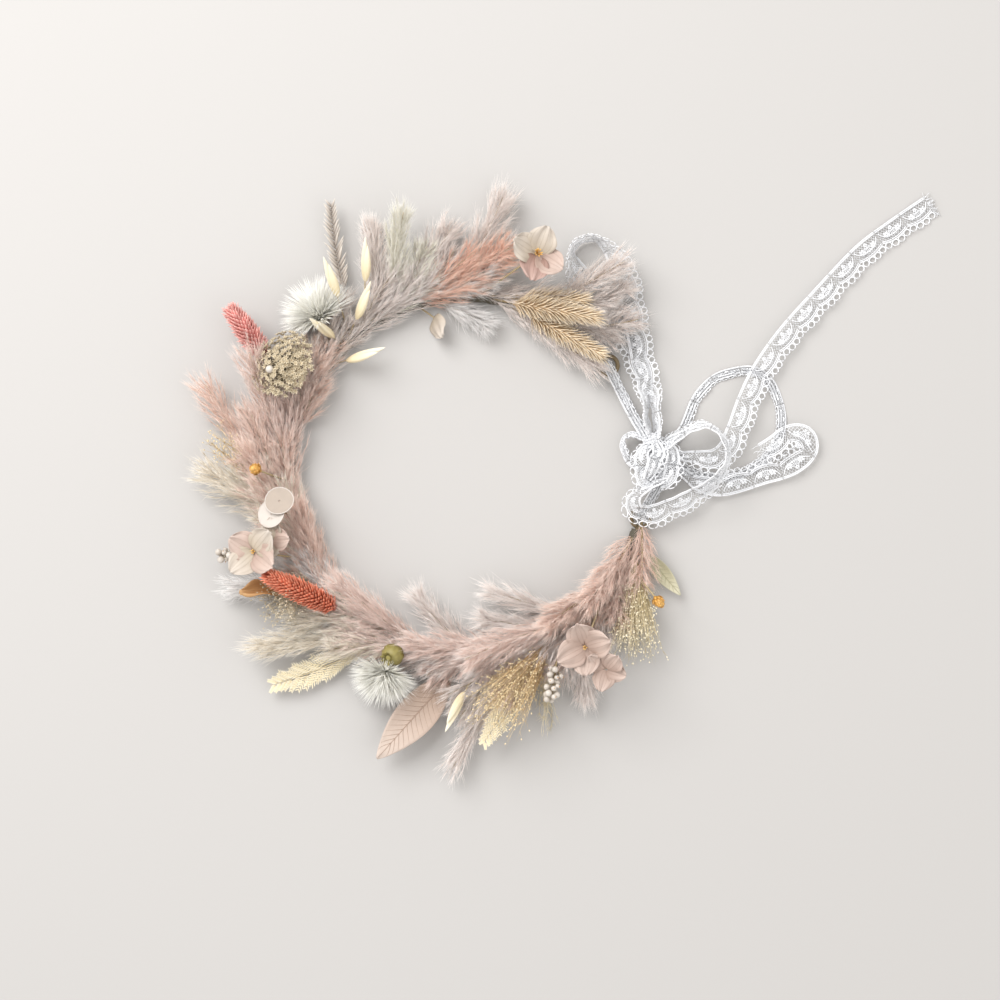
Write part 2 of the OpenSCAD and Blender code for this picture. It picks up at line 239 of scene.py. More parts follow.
    def make(self, looks, node, body="crown"):
        """Writes the mesh, hangs it on the empty of the body that it rides on, and hides the CAD node that
        it stands for.
        """
        points = concatenate(self.points)
        points[:, 2] = maximum(points[:, 2], FLOOR_GAP)
        quads, triangles = [concatenate(self.faces[corners]) for corners in (4, 3)]
        corners = concatenate([quads.ravel(), triangles.ravel()])
        sizes = np.repeat([4, 3], [len(quads), len(triangles)])
        mesh = bpy.data.meshes.new(self.name)
        mesh.vertices.add(len(points))
        mesh.vertices.foreach_set("co", (points * MM).astype(np.float32).ravel())
        mesh.loops.add(len(corners))
        mesh.loops.foreach_set("vertex_index", corners.astype(np.int32))
        mesh.polygons.add(len(sizes))
        mesh.polygons.foreach_set("loop_start", (np.cumsum(sizes) - sizes).astype(np.int32))
        kinds = concatenate(self.looks[4] + self.looks[3])
        mesh.polygons.foreach_set("material_index", kinds.astype(np.int32))
        mesh.polygons.foreach_set("use_smooth", np.ones(len(sizes), bool))
        for name, values in (("tip", self.tips), ("tone", self.tones)):
            attribute = mesh.attributes.new(name, "FLOAT", "POINT")
            attribute.data.foreach_set("value", concatenate(values).astype(np.float32))
        mesh.update(calc_edges=True)
        for look in looks:
            mesh.materials.append(LOOKS[look])
        piece = bpy.data.objects.new(self.name, mesh)
        bpy.context.scene.collection.objects.link(piece)
        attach(piece, body)
        if node:
            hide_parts(node)
        return piece


# ---------------------------------------------------------------- stems, read from the CAD nodes

RING_RADIUS = 94.0
RING_HEIGHT = 3.2
STEM_REACH = 3.4
TIP_DEPTH = 0.8
HEAD_SHARE = 0.45


class Axis:
    """A base, a direction, two directions across it, and a length."""

    def at(self, share):
        return self.base + self.axis * self.length * np.asarray(share, float)[..., None]

    def around(self, turn):
        """Directions at right angles to the axis, turned round it."""
        turn = np.asarray(turn, float)[..., None]
        return self.a * cos(turn) + self.b * sin(turn)


class Stem(Axis):
    """One bound sprig: where it leaves the tape, its direction and length, and its farther points."""

    def __init__(self, points):
        radial = np.hypot(points[:, 0], points[:, 1]) - RING_RADIUS
        near = np.hypot(radial, points[:, 2] - RING_HEIGHT) < STEM_REACH
        self.base = points[near].mean(axis=0)
        away = np.linalg.norm(points - self.base, axis=1)
        self.length = away.max()
        self.axis = unit(points[away > self.length - TIP_DEPTH].mean(axis=0) - self.base)
        self.a, self.b = across(self.axis)
        offset = points - self.base
        along = offset @ self.axis
        self.radius = np.linalg.norm(offset - along[:, None] * self.axis, axis=1).max()
        head = points[away > HEAD_SHARE * self.length]
        self.middle = head.mean(axis=0)
        normal = np.linalg.svd(head - self.middle, full_matrices=False)[2][2]
        self.normal = normal * (1 if normal[2] >= 0 else -1)


def loose_parts(node):
    """The vertices of each separate solid of a CAD node, in millimetres."""
    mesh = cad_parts[node].data
    points = array([v.co for v in mesh.vertices]) / MM
    corners = array([list(e.vertices) for e in mesh.edges])
    same, index = np.unique(np.round(points, 3), axis=0, return_inverse=True)
    index = index.reshape(-1)
    label = arange(len(same))
    links = index[corners]
    while True:
        lowest = minimum(label[links[:, 0]], label[links[:, 1]])
        before = label.copy()
        minimum.at(label, links[:, 0], lowest)
        minimum.at(label, links[:, 1], lowest)
        label = label[label]
        if np.array_equal(before, label):
            break
    return [same[label == x] for x in np.unique(label)]


def stems(node):
    return [Stem(points) for points in loose_parts(node)]


def longest_first(node):
    return sorted(stems(node), key=lambda stem: -stem.length)


# ---------------------------------------------------------------- materials

def hexed(code):
    """A colour written as six hexadecimal digits, as linear red, green, blue and alpha."""
    parts = [int(code[i:i + 2], 16) / 255 for i in (0, 2, 4)]
    return (*[((c + 0.055) / 1.055) ** 2.4 if c > 0.04045 else c / 12.92 for c in parts], 1.0)


def wired(tree, kind, inputs, **settings):
    """A new shader node. An input is a value, or the socket that feeds it."""
    node = tree.nodes.new("ShaderNode" + kind)
    for key, value in settings.items():
        setattr(node, key, value)
    for key, value in inputs.items():
        if isinstance(value, bpy.types.NodeSocket):
            tree.links.new(value, node.inputs[key])
        else:
            node.inputs[key].default_value = value
    return node


def material(name, colours, tone=0.25, mottle=0.25, mottle_scale=400, roughness=0.7, bump=0.15,
             bump_scale=3000, sheen=0.0):
    """Colours run from root to tip, vary from strand to strand, and are mottled by a fine noise."""
    m = bpy.data.materials.new(name)
    m.use_nodes = True
    tree = m.node_tree
    colours = [hexed(code) for code in colours.split()]
    tips = wired(tree, "Attribute", {}, attribute_name="tip").outputs["Fac"]
    ramp = wired(tree, "ValToRGB", {"Fac": tips})
    ramp.color_ramp.elements[0].color = colours[0]
    ramp.color_ramp.elements[1].color = colours[-1]
    for i, colour in enumerate(colours[1:-1]):
        ramp.color_ramp.elements.new((i + 1) / (len(colours) - 1)).color = colour

    place = wired(tree, "TexCoord", {}).outputs["Object"]
    coarse = wired(tree, "TexNoise", {"Vector": place, "Scale": mottle_scale, "Detail": 3}).outputs["Fac"]
    tones = wired(tree, "Attribute", {}, attribute_name="tone").outputs["Fac"]
    light = wired(tree, "Math", {0: tones, 1: 2 * tone, 2: 1 - tone - mottle / 2}, operation="MULTIPLY_ADD")
    shade = wired(tree, "Math", {0: coarse, 1: mottle, 2: light.outputs[0]}, operation="MULTIPLY_ADD")
    tinted = wired(tree, "VectorMath", {0: ramp.outputs["Color"], "Scale": shade.outputs[0]},
                   operation="SCALE")
    rough = wired(tree, "MapRange", {"Value": coarse, "To Min": roughness - ROUGHNESS_SPREAD,
                                     "To Max": min(roughness + ROUGHNESS_SPREAD, 1.0)})
    fine = wired(tree, "TexNoise", {"Vector": place, "Scale": bump_scale, "Detail": 2})
    relief = wired(tree, "Bump", {"Strength": bump, "Distance": BUMP_DEPTH, "Height": fine.outputs["Fac"]})
    shader = tree.nodes["Principled BSDF"]
    shader.inputs["Sheen Weight"].default_value = sheen
    for key, socket in (("Base Color", tinted.outputs["Vector"]), ("Roughness", rough.outputs["Result"]),
                        ("Normal", relief.outputs["Normal"])):
        tree.links.new(socket, shader.inputs[key])
    return m


ROUGHNESS_SPREAD = 0.12
BUMP_DEPTH = 0.0002
PLUME = dict(tone=0.1, mottle=0.12, roughness=0.85, bump=0.05, sheen=0.35)
PAPERY = dict(tone=0.08, mottle=0.22, mottle_scale=260, roughness=0.7, bump=0.3, bump_scale=1800)
LOOKS = {
    "lace": material("lace", "e6e7ea f3f4f6", tone=0.06, mottle=0.08, roughness=0.8, bump=0.4,
                     bump_scale=5200, sheen=0.3),
    "wire": material("paper_covered_wire", "8a7a5c 6f6048", mottle_scale=900, roughness=0.8),
    "tape": material("crepe_tape", "4c473c 5d574a", mottle=0.35, mottle_scale=700,
                     roughness=0.75, bump=0.6, bump_scale=2400),
    "pink": material("pink_plume", "eabfaa f6d7c7 fcece1", **PLUME),
    "rose": material("rose_plume", "e8c5b6 f7dccf fdf1ea", **PLUME),
    "mauve": material("mauve_plume", "e6d3c9 f8ece5 fdf8f4", **PLUME),
    "cream": material("cream_plume", "e6d6be f6ebd8 fdf8ee", **PLUME),
    "green": material("pale_green_plume", "dad4ba f5f0e0 fcfbf4", **PLUME),
    "peach": material("peach_plume", "f0b59e fbcfb9 fce6d5", **PLUME),
    "white": material("white_plume", "e4ddd8 f7f3f0 fdfcfb", **PLUME),
    "bristle": material("white_bristle", "f2efe2 fbf9f0 fefdf9", tone=0.05, mottle=0.06,
                        roughness=0.5, bump=0.1),
    "coral": material("coral_floret", "a84a32 d4785a e79d80", tone=0.2, roughness=0.65,
                      bump=0.2),
    "salmon": material("salmon_floret", "b5635c d6918a ecb7ae", tone=0.2, roughness=0.65,
                       bump=0.2),
    "oat": material("oat_husk", "ccb787 e3d5b2 efe7d2", **PAPERY),
    "herringbone": material("herringbone_husk", "7a6f66 b3a99f ddd6cc", **PAPERY),
    "gold": material("gold_grass", "a07a48 c8a87a e2cfa8", tone=0.25, roughness=0.6),
    "ear": material("grass_ear", "cbb08c dfcbac efe3d0", tone=0.18, roughness=0.7),
    "straw": material("straw_grass", "b89d68 d6c396 e9dfc4", tone=0.22, roughness=0.6),
    "yellow": material("yellow_floret", "80734f b2a286 cbbfa6", tone=0.22, roughness=0.7),
    "skeleton": material("skeleton_leaf", "a8907f b9a597 c9b9ad", **PAPERY),
    "leaf": material("grey_green_leaf", "a39e80 b9b498 cdc8b0", **PAPERY),
    "petal": material("hydrangea_petal", "a58c7f baa498 c8b5aa", **PAPERY),
    "ivory": material("ivory_petal", "ab9d89 bcb0a2 c9bfb4", **PAPERY),
    "tan": material("tan_petal", "8f7163 a88a80 ba9f95", **PAPERY),
    "brown": material("brown_petal", "a77446 c08c58 cfa574", **PAPERY),
    "disc": material("honesty_disc", "a6988b b9ada2 cdc5bd", **PAPERY),
    "berry": material("berry", "aea294 c2b9ae d2cbc2", tone=0.06, mottle=0.15,
                      mottle_scale=700, roughness=0.4, bump=0.1),
    "pod": material("seed_pod", "575126 776c35 94894f", mottle=0.4, mottle_scale=500,
                    roughness=0.5, bump=0.3, bump_scale=1500),
    "bud": material("amber_bud", "8a6428 c48f3f dcb168", mottle=0.35, mottle_scale=600,
                    roughness=0.4, bump=0.25),
    "stem": material("dry_stem", "8d7b58 b7a582", mottle_scale=800, roughness=0.75),
}


# ---------------------------------------------------------------- the lace ribbon

RIBBON_WIDTH = 13.0
GATHERED_WIDTH = 5.0
REPEAT = 15.5
KNOT_AT = array([100.0, 10.0, 7.0])
KNOT_LENGTH = 26.0
KNOT_RADIUS = 6.5
KNOT_AXIS = array([cos(radians(105)), sin(radians(105)), 0.0])

# The routes are those of the CAD strips: x, y, z and roll, and for the tails the share of the width.
UPPER_TIE = [
    [95, 18, 8, 0], [86, 34, 6, 0], [79, 48, 5.6, 0], [75, 56, 5.4, 0], [73.4, 59.2, 4.6, 0],
    [73.2, 59.8, 3.2, 0], [73.4, 59.2, 1.7, 0], [75, 56, 0.9, 0], [79, 48, 0.8, 0], [86, 34, 1.4, 0],
    [94.6, 19, 4, 0]
]
LOWER_TIE = [
    [103, -1, 6, 0], [99, -9, 5.7, 0], [94, -18, 5.4, 0], [92, -21.6, 4.6, 0], [91.7, -22.2, 3.2, 0],
    [92, -21.6, 1.7, 0], [94, -18, 0.9, 0], [99, -9, 0.9, 0], [103, -1, 3, 0]
]
TOP_LOOP = [
    [96, 21, 9, 75], [94, 30, 8, 75], [93.5, 38, 7.2, 65], [92, 49, 5.6, 30], [88.5, 61, 2.6, 5],
    [83, 74, 1, 0], [75.5, 87, 1, 0], [66, 98, 1.2, 0], [58, 106, 3.6, 20], [54.5, 114, 6.4, 60],
    [56, 121, 7.4, 75], [63, 125, 7.6, 78], [71, 123, 7.2, 70], [78, 116, 5.8, 45], [84, 105, 4, 10],
    [87, 92, 3.6, 0], [90, 76, 3.4, 0], [93, 60, 3.4, 5], [96.5, 47, 4.6, 25], [99.5, 36, 7, 65],
    [100, 24, 8, 75], [99, 18, 9, 75]
]
SIDE_LOOP = [
    [97, 16, 8, 60], [88, 21, 6.5, 60], [82.5, 19, 6, 62], [83, 12, 6, 62], [89, 4, 6, 60],
    [98, 1, 7, 60]
]
BOW_LOOP = [
    [101, 15, 9, -60], [110, 20, 12, -65], [118, 25, 14, -70], [126, 26, 14.5, -72],
    [134, 20, 15, -74], [137, 10, 15, -72], [133, -1, 14, -60], [123, -10, 12, -40],
    [110, -17, 10.5, -25], [97, -22, 9.6, -18], [88, -20, 10.5, -30], [86.5, -13, 12, -50],
    [92, -7, 12, -60], [102, -1, 11, -65]
]
BACK_LOOP = [
    [104, 14, 3, 0], [114, 24, 1.6, 0], [121, 40, 1, 0], [130, 50, 1, 0], [140, 54, 1, 0],
    [151, 55, 1, 0], [159, 50, 1, 0], [164, 40, 1, 0], [166, 28, 1, 0], [163, 16, 1, 0],
    [154, 6, 1, 0], [142, 0, 1, 0], [128, -1, 1, 0], [114, 3, 1, 0], [107, 6, 1.4, 0], [101, 8, 2.6, 0]
]
LONG_TAIL = [
    [103.5, 10, 6.6, 0, 0.3], [108.4, 9.1, 6.4, 0, 0.3], [115, 9, 6.4, 0, 0.55], [123, 7.5, 6.2, 0, 0.85],
    [131, 7.5, 6, 0, 1], [138, 13, 6, 0, 1], [143, 24, 6, 0, 1], [149, 40, 5.6, 0, 1],
    [157, 56, 5, 0, 1], [170, 74, 4.2, 0, 1], [188, 94, 3.2, 0, 1], [209, 116, 2, 0, 1],
    [226, 129, 1.4, 0, 1], [245, 142, 1.2, 0, 1]
]
SHORT_TAIL = [
    [104.5, 6.5, 4, 0, 0.3], [109.7, 4.3, 3.8, 0, 0.3], [116, 0.5, 3.7, 0, 0.55], [124, -4, 3.6, 0, 0.85],
    [133, -5, 3.4, 0, 1], [143, -3, 3.4, 0, 1], [155, 1, 3.4, 0, 1], [166, 4, 3.4, 0, 1],
    [174, 8, 3.6, 0, 1], [179, 14, 4, 0, 1], [177, 20, 4.8, 0, 1], [170, 20, 5.4, 0, 1],
    [163, 15, 5.6, 0, 1], [156, 10.5, 5.6, 0, 1]
]


def spline(rows, steps=16):
    """A smooth curve through the rows: the Catmull-Rom curve that the CAD strips use."""
    p = array([row if len(row) > 4 else [*row, 1] for row in rows], float)
    padded = concatenate([p[:1], p, p[-1:]])
    t = (arange(steps) / steps)[:, None]
    parts = []
    for a, b, c, d in zip(padded, padded[1:], padded[2:], padded[3:]):
        parts.append(0.5 * (2 * b + (c - a) * t + (2 * a - 5 * b + 4 * c - d) * t ** 2
                            + (3 * b - a - 3 * c + d) * t ** 3))
    return concatenate([*parts, p[-1:]])


class Strip:
    """The ribbon's surface along a route: finds the place of a point from its run and its side."""

    def __init__(self, rows, width=RIBBON_WIDTH, first=None, wave=0.35, seed="strip"):
        q = spline(rows)
        self.line = q[:, :3]
        tangent = unit(gradient(self.line, axis=0))
        if first is None:
            s = unit(stack([-tangent[:, 1], tangent[:, 0], np.zeros(len(q))], axis=1))
            n = cross(tangent, s)
        else:
            s, n = carried(tangent, array(first, float))
        roll = radians(q[:, 3:4])
        self.side = s * cos(roll) + n * sin(roll)
        self.up = n * cos(roll) - s * sin(roll)
        steps = np.linalg.norm(np.diff(self.line, axis=0), axis=1)
        self.run = concatenate([[0], np.cumsum(steps)])
        self.length = self.run[-1]
        self.share = q[:, 4] * width / RIBBON_WIDTH
        self.waves = dice(seed).uniform(0, 2 * pi, 3)
        self.wave = wave

    def place(self, run, side, lift=0.0):
        """run along the strip and side across it, from minus to plus half the flat ribbon's width."""
        def at(values):
            return stack([interp(run, self.run, values[:, i]) for i in range(3)], axis=-1)
        share = interp(run, self.run, self.share)
        pleat = (1 - share) * 1.15 * sin(side * 1.75 + 0.12 * run + self.waves[0])
        ripple = self.wave * sin(run * 0.33 + side * 0.22 + self.waves[1])
        ripple = ripple + 0.6 * self.wave * sin(run * 0.71 - side * 0.4 + self.waves[2])
        up = at(self.up) * (pleat + ripple + lift)[..., None]
        return at(self.line) + at(self.side) * (side * share)[..., None] + up


SCALLOP_FOOT = 8.2
SCALLOP_RISE = 1.9
NET_ROWS = 7
NET_STEPS = 10


def scallop(run):
    """How far the scallop's outer cord stands from the straight edge."""
    return SCALLOP_FOOT + SCALLOP_RISE * np.abs(sin(pi * run / REPEAT)) ** 0.7


def lace(piece, strip, scallop_side, thread=1.0):
    """Threads of the lace on a strip: straight cords, net, scallop cords, ring picots and flowers."""
    rng = dice(piece.name)
    repeats = max(2, round(strip.length / REPEAT))
    fit = strip.length / (repeats * REPEAT)

    def put(run, out, radius, sides=4, thick=None, lift=0.0):
        run, out = np.broadcast_arrays(run, out)
        line = strip.place(np.clip(run * fit, 0, strip.length), (out - RIBBON_WIDTH / 2) * scallop_side,
                           lift)
        tone = rng.uniform(0, 1, len(line))
        radius = broadcast_to(radius * thread, line.shape[:2])
        piece.strands(line, radius, thick=None if thick is None else thick * thread, sides=sides,
                      tone=tone, tip=0.5)

    starts = arange(repeats)[:, None] * REPEAT
    span = linspace(0, REPEAT * 1.02, 13)
    for out, radius in ((0.35, 0.36), (1.15, 0.3)):
        put(starts + span, out, radius)
    zig = linspace(0, REPEAT * 1.02, 25)
    put(starts + zig, 0.75 + 0.4 * (-1.0) ** arange(25), 0.14, sides=3)
    for row in range(NET_ROWS):
        steps = 2 * NET_STEPS + 1
        run = starts + linspace(0, REPEAT, steps)
        flip = (-1.0) ** (arange(steps) + row)
        middle = 1.7 + row * (scallop(run) - 2.2) / NET_ROWS
        put(run, middle + 0.55 * flip, 0.2, sides=3)
    put(starts + span, scallop(starts + span) - 0.9, 0.24)
    put(starts + span, scallop(starts + span), 0.34)
    turn = linspace(0.6 * pi, 2.6 * pi, 12)
    for share in (0.13, 0.38, 0.62, 0.87):
        middle = starts + share * REPEAT
        put(middle + 1.75 * cos(turn), scallop(middle) + 1.65 + 1.6 * sin(turn), 0.33)
    for share, out, size in ((0.27, 5.4, 1.9), (0.73, 5.4, 1.9), (0.5, 3.3, 1.3)):
        for k in range(5):
            angle = 2 * pi * k / 5 + 0.3
            reach = linspace(0.15, 1.0, 5) * size
            put(starts + share * REPEAT + reach * cos(angle), out + reach * sin(angle),
                array([0.2, 0.42, 0.5, 0.36, 0.05]) * size / 1.4, thick=0.18, lift=0.05)
    for k in range(7):
        angle = radians(35 + 110 * k / 6)
        reach = linspace(1.2, 5.6, 5)
        put(starts + 0.5 * REPEAT + reach * cos(angle), 3.4 + reach * sin(angle), 0.2)
    arch = linspace(0, pi, 12)
    put(starts + REPEAT * (0.5 - 0.44 * cos(arch)), 2.4 + 4.6 * sin(arch), 0.26)


def fray(piece, strip, count, length):
    """Loose thread ends past the cut end of a ribbon."""
    rng = dice(piece.name + "fray")
    side = rng.uniform(-6, 6, count)
    root = strip.place(np.full(count, strip.length - 0.5), side)
    ahead = unit(strip.line[-1] - strip.line[-4])
    out = unit(ahead + 0.45 * rng.normal(size=(count, 3)) * [1, 1, 0.3])
    t = linspace(0, 1, 5)[None, :, None]
    reach = rng.uniform(0.4, 1, (count, 1, 1)) * length
    line = root[:, None] + out[:, None] * reach * t
    line = line + 0.5 * sin(t * 5 + rng.uniform(0, 6, (count, 1, 1))) * strip.side[-1]
    piece.strands(line, 0.16, tone=rng.random(count), tip=0.5)


def ribbon(name, rows, node, length, scallop_side, body="crown", width=RIBBON_WIDTH, first=None,
           frayed=0, far_end="object", wave=0.35):
    """One stretch of the ribbon: its lace threads along the route, with loose thread ends past the cut end
    where it is frayed.
    """
    piece = Piece(name)
    strip = Strip(rows, width, first, wave, seed=name)
    lace(piece, strip, scallop_side)
    if frayed:
        fray(piece, strip, frayed, 5)
    made = piece.make(["lace"], node, body)


# Crumpled turns of lace that stand out of the knot: x, y, z, roll and share of the width.
KNOT_FOLDS = [
    ([[97, 17, 10, 20, 0.4], [92, 13, 13, 35, 0.8], [90, 5, 14, 10, 1.0], [93, -4, 12, -20, 0.9],
      [99, -6, 10, -35, 0.5]], 11),
    ([[103, 16, 11, -20, 0.4], [108, 13, 13.5, -35, 0.8], [109, 5, 14, -15, 1.0], [106, -3, 12, 15, 0.8],
      [101, -6, 10, 30, 0.5]], 11),
    ([[95, -3, 13, 10, 0.6], [98, 4, 15.5, 25, 1.0], [101, 11, 15.5, -15, 0.9], [99, 18, 13, 0, 0.5]], 10)
]


def knot():
    """The tied knot: the ribbon wound three times round its own folded strands."""
    piece = Piece("knot_wraps")
    rng = dice("knot")
    up = array([0.0, 0.0, 1.0])
    flat = cross(up, KNOT_AXIS)
    for k in range(7):
        t = linspace(-1, 1, 14)
        angle = 2 * pi * k / 7
        swell = sqrt(maximum(1 - t ** 2, 0.03))
        line = KNOT_AT + KNOT_AXIS * (t * KNOT_LENGTH * 0.47)[:, None] \
            + (flat * cos(angle) + up * sin(angle) * 0.75) \
            * (swell * KNOT_RADIUS * 0.45 + 0.5 * sin(t * 7 + k))[:, None]
        piece.tube(line, 1.5 * swell + 0.4, sides=10, tone=rng.random())
    for k, (shift, turns) in enumerate(((-8.5, 1.2), (-3.2, 1.4), (2.4, 1.3), (8.0, 1.2))):
        t = linspace(0, 2 * pi * turns, 26)
        reach = 1 - (abs(shift) / KNOT_LENGTH * 2) ** 2 * 0.55
        drift = shift + 3.2 * t / t[-1] - 1.6
        around = flat * cos(t + k)[:, None] * 5.6 * reach + up * sin(t + k)[:, None] * 5.0 * reach
        line = KNOT_AT + around + KNOT_AXIS * drift[:, None]
        rows = concatenate([line, np.zeros((len(t), 1)), np.full((len(t), 1), 1.0)], axis=1)
        band = Strip(rows[::3], 7.0, first=KNOT_AXIS, wave=0.2, seed=f"wrap{k}")
        lace(piece, band, 1, thread=1.15)
    for k, (rows, width) in enumerate(KNOT_FOLDS):
        rows = [[x, y, z, roll, share] for x, y, z, roll, share in rows]
        lace(piece, Strip(rows, width, wave=0.5, seed=f"fold{k}"), 1 if k % 2 else -1, thread=1.1)
    piece.make(["lace"], "ribbon_knot")


# Piece, route, CAD node, length in metres, the side that the scallops are on, and what sets it apart.
RIBBONS = [
    ("upper_tie_lace", UPPER_TIE, "ribbon_upper_tie", 0.096, 1,
     dict(width=GATHERED_WIDTH, first=[0.87, 0.5, 0], wave=0.1)),
    ("lower_tie_lace", LOWER_TIE, "ribbon_lower_tie", 0.051, 1,
     dict(width=GATHERED_WIDTH, first=[0.87, -0.5, 0], wave=0.1)),
    ("top_loop_lace", TOP_LOOP, "ribbon_top_loop", 0.242, 1, {}),
    ("side_loop_lace", SIDE_LOOP, None, 0.044, 1, dict(width=GATHERED_WIDTH)),
    ("bow_loop_lace", BOW_LOOP, "ribbon_bow_loop", 0.141, 1, {}),
    ("back_loop_lace", BACK_LOOP, "ribbon_back_loop", 0.183, -1, dict(width=GATHERED_WIDTH, wave=0.1)),
    ("long_tail_lace", LONG_TAIL, "ribbon_long_tail", 0.208, -1,
     dict(body="long_tail", frayed=26, far_end="bare")),
    ("short_tail_lace", SHORT_TAIL, "ribbon_short_tail", 0.113, 1,
     dict(body="short_tail", frayed=14, far_end="bare"))
]

for name, rows, node, length, scallop_side, changes in RIBBONS:
    ribbon(name, rows, node, length, scallop_side, **changes)
knot()


# ---------------------------------------------------------------- wire and tape

RING_ENDS = (41, 343)
WIRE_RADIUS = 1.1
EYE_RADIUS = 5


def ring_line(start, end, count):
    angle = radians(linspace(start, end, count))
    return RING_RADIUS * stack([cos(angle), sin(angle), 0 * angle], axis=1) + [0, 0, RING_HEIGHT]


def wire():
    """The paper-covered wire, with an eye bent at each end."""
    piece = Piece("wire_detail")
    rng = dice("wire")
    radii = WIRE_RADIUS + 0.05 * rng.normal(size=(240, 10))
    piece.tube(ring_line(*RING_ENDS, 240), np.clip(radii, 1.0, 1.2), sides=10)
    for angle, turn in zip(RING_ENDS, (-90, 90)):
        end = radians(angle)
        ahead = radians(angle + turn)
        middle = RING_RADIUS * array([cos(end), sin(end), 0]) \
            + EYE_RADIUS * array([cos(ahead), sin(ahead), 0])
        t = linspace(0, 2 * pi * 0.99, 40) + ahead + pi
        eye = middle + [0, 0, RING_HEIGHT] + EYE_RADIUS * stack([cos(t), sin(t), 0 * t], axis=1)
        piece.tube(eye, WIRE_RADIUS + 0.04 * rng.normal(size=(40, 10)), sides=10)
    piece.make(["wire"], "band_wire")


def tape():
    """The crepe tape: a stretched paper strip wound round the wire in a slow helix."""
    piece = Piece("tape_wraps")
    rng = dice("tape")
    count, sides, pitch = 1500, 16, 9.0
    line = ring_line(42, 342, count)
    run = linspace(0, radians(300) * RING_RADIUS, count)[:, None]
    turn = arange(sides)[None, :] / sides
    phase = (run / pitch - turn) % 1
    crepe = 0.07 * sin(run * 9 + 3 * turn) + 0.05 * rng.normal(size=(count, sides))
    piece.tube(line, 2.75 + 0.42 * phase + crepe, sides=sides, tip=0.5)
    piece.make(["tape"], "band_tape")


wire()
tape()


# ---------------------------------------------------------------- plumes and tufts

def bent_axis(stem, rng, amount):
    """The stem's line as a function of its share, with a gentle bend of its own."""
    lean = stem.around(rng.uniform(0, 2 * pi)) * amount * stem.length
    return lambda share: stem.at(share) + lean * sin(np.asarray(share) * pi)[..., None] ** 2


class Shoot(Axis):
    """A side plume: it starts on the tape at an angle round the ring, and leans towards the ring's run."""

    def __init__(self, stem, angle, follow, spread, lift, length, radius):
        outward = array([cos(angle), sin(angle), 0.0])
        ahead = array([sin(angle), -cos(angle), 0.0])
        self.base = outward * (RING_RADIUS + 3 * spread) + [0, 0, RING_HEIGHT + 1.5]
        flat = stem.axis * [1, 1, 0.4]
        self.axis = unit(flat * (1 - follow) + ahead * follow + outward * spread + [0, 0, lift])
        self.a, self.b = across(self.axis)
        self.length = length
        self.radius = radius


def plume(name, stem, piece, branches=84, hairs=32, full=1.75, hair=7.5, start=0.02, reach=0.26,
          thickness=0.085, bend=0.035, tuck=0.35, knees=4):
    """A soft plume: a thin stem, side branches that lean forward, and silky hairs on each branch."""
    rng = dice(name)
    at = bent_axis(stem, rng, bend)
    share = linspace(0, 0.9, 12)
    piece.tube(at(share), linspace(0.75, 0.18, 12), sides=6, look=1)

    j = arange(branches)
    root = start + (0.84 - start) * (j + rng.random(branches)) / branches
    turn = j * SPIRAL + rng.normal(0, 0.3, branches)
    radial = stem.around(turn)
    width = stem.radius * full * interp(root, [0, 0.15, 0.5, 0.84], [0.8, 1.0, 1.05, 0.75])
    width = width * rng.uniform(0.4, 1.35, branches)
    ahead = stem.length * reach * (1.1 - 0.5 * root) * rng.uniform(0.8, 1.25, branches)
    ahead = minimum(ahead, stem.length * (rng.uniform(0.86, 1.0, branches) - root))
    ahead = maximum(ahead, 1.5)
    t = linspace(0, 1, 6)
    line = rays(at(root), np.tile(stem.axis, (branches, 1)), ahead, t) \
        + radial[:, None] * (width[:, None] * (t - tuck * t ** 2))[..., None]
    branch_tone = rng.uniform(0.15, 0.85, branches)
    piece.strands(line, 0.16 * (1 - 0.75 * t), tone=branch_tone, tip=0.2 + 0.3 * t)

    n = branches * hairs
    owner = np.repeat(j, hairs)
    along = (np.tile(arange(hairs), branches) + rng.random(n)) / hairs
    spot = along * 5
    low = minimum(spot.astype(int), 4)
    part = (spot - low)[:, None]
    foot = line[owner, low] * (1 - part) + line[owner, low + 1] * part
    forward = unit(line[owner, low + 1] - line[owner, low])
    angle = 4 + 30 * rng.random(n) ** 1.5 + 26 * (rng.random(n) > 0.94)
    way, side = fan_out(forward, radians(angle), rng.uniform(0, 2 * pi, n))
    size = hair * rng.uniform(0.5, 1.25, n) * (1.05 - 0.2 * root[owner])
    s = linspace(0, 1, knees)
    curl = forward * rng.uniform(-0.1, 0.35, n)[:, None] + side * rng.uniform(-0.2, 0.08, n)[:, None]
    strand = rays(foot, way, size, s) + curl[:, None] * (size[:, None] * s ** 2)[..., None]
    depth = 0.15 + 0.2 * along
    tone = np.clip(branch_tone[owner] + rng.normal(0, 0.18, n), 0, 1)
    piece.strands(strand, thickness * (1 - 0.6 * s), tone=tone, tip=depth[:, None] + 0.65 * s)


# Side plumes of a bunch: share along the ring, outward lean, and millimetres back along the ring.
SIDE_PLUMES = [(0.9, 0.18, 6), (0.6, 0.42, -5), (0.8, -0.16, 12), (0.7, 0.3, 20), (0.95, 0.02, -9)]
SIDE_RADIUS = 6.0


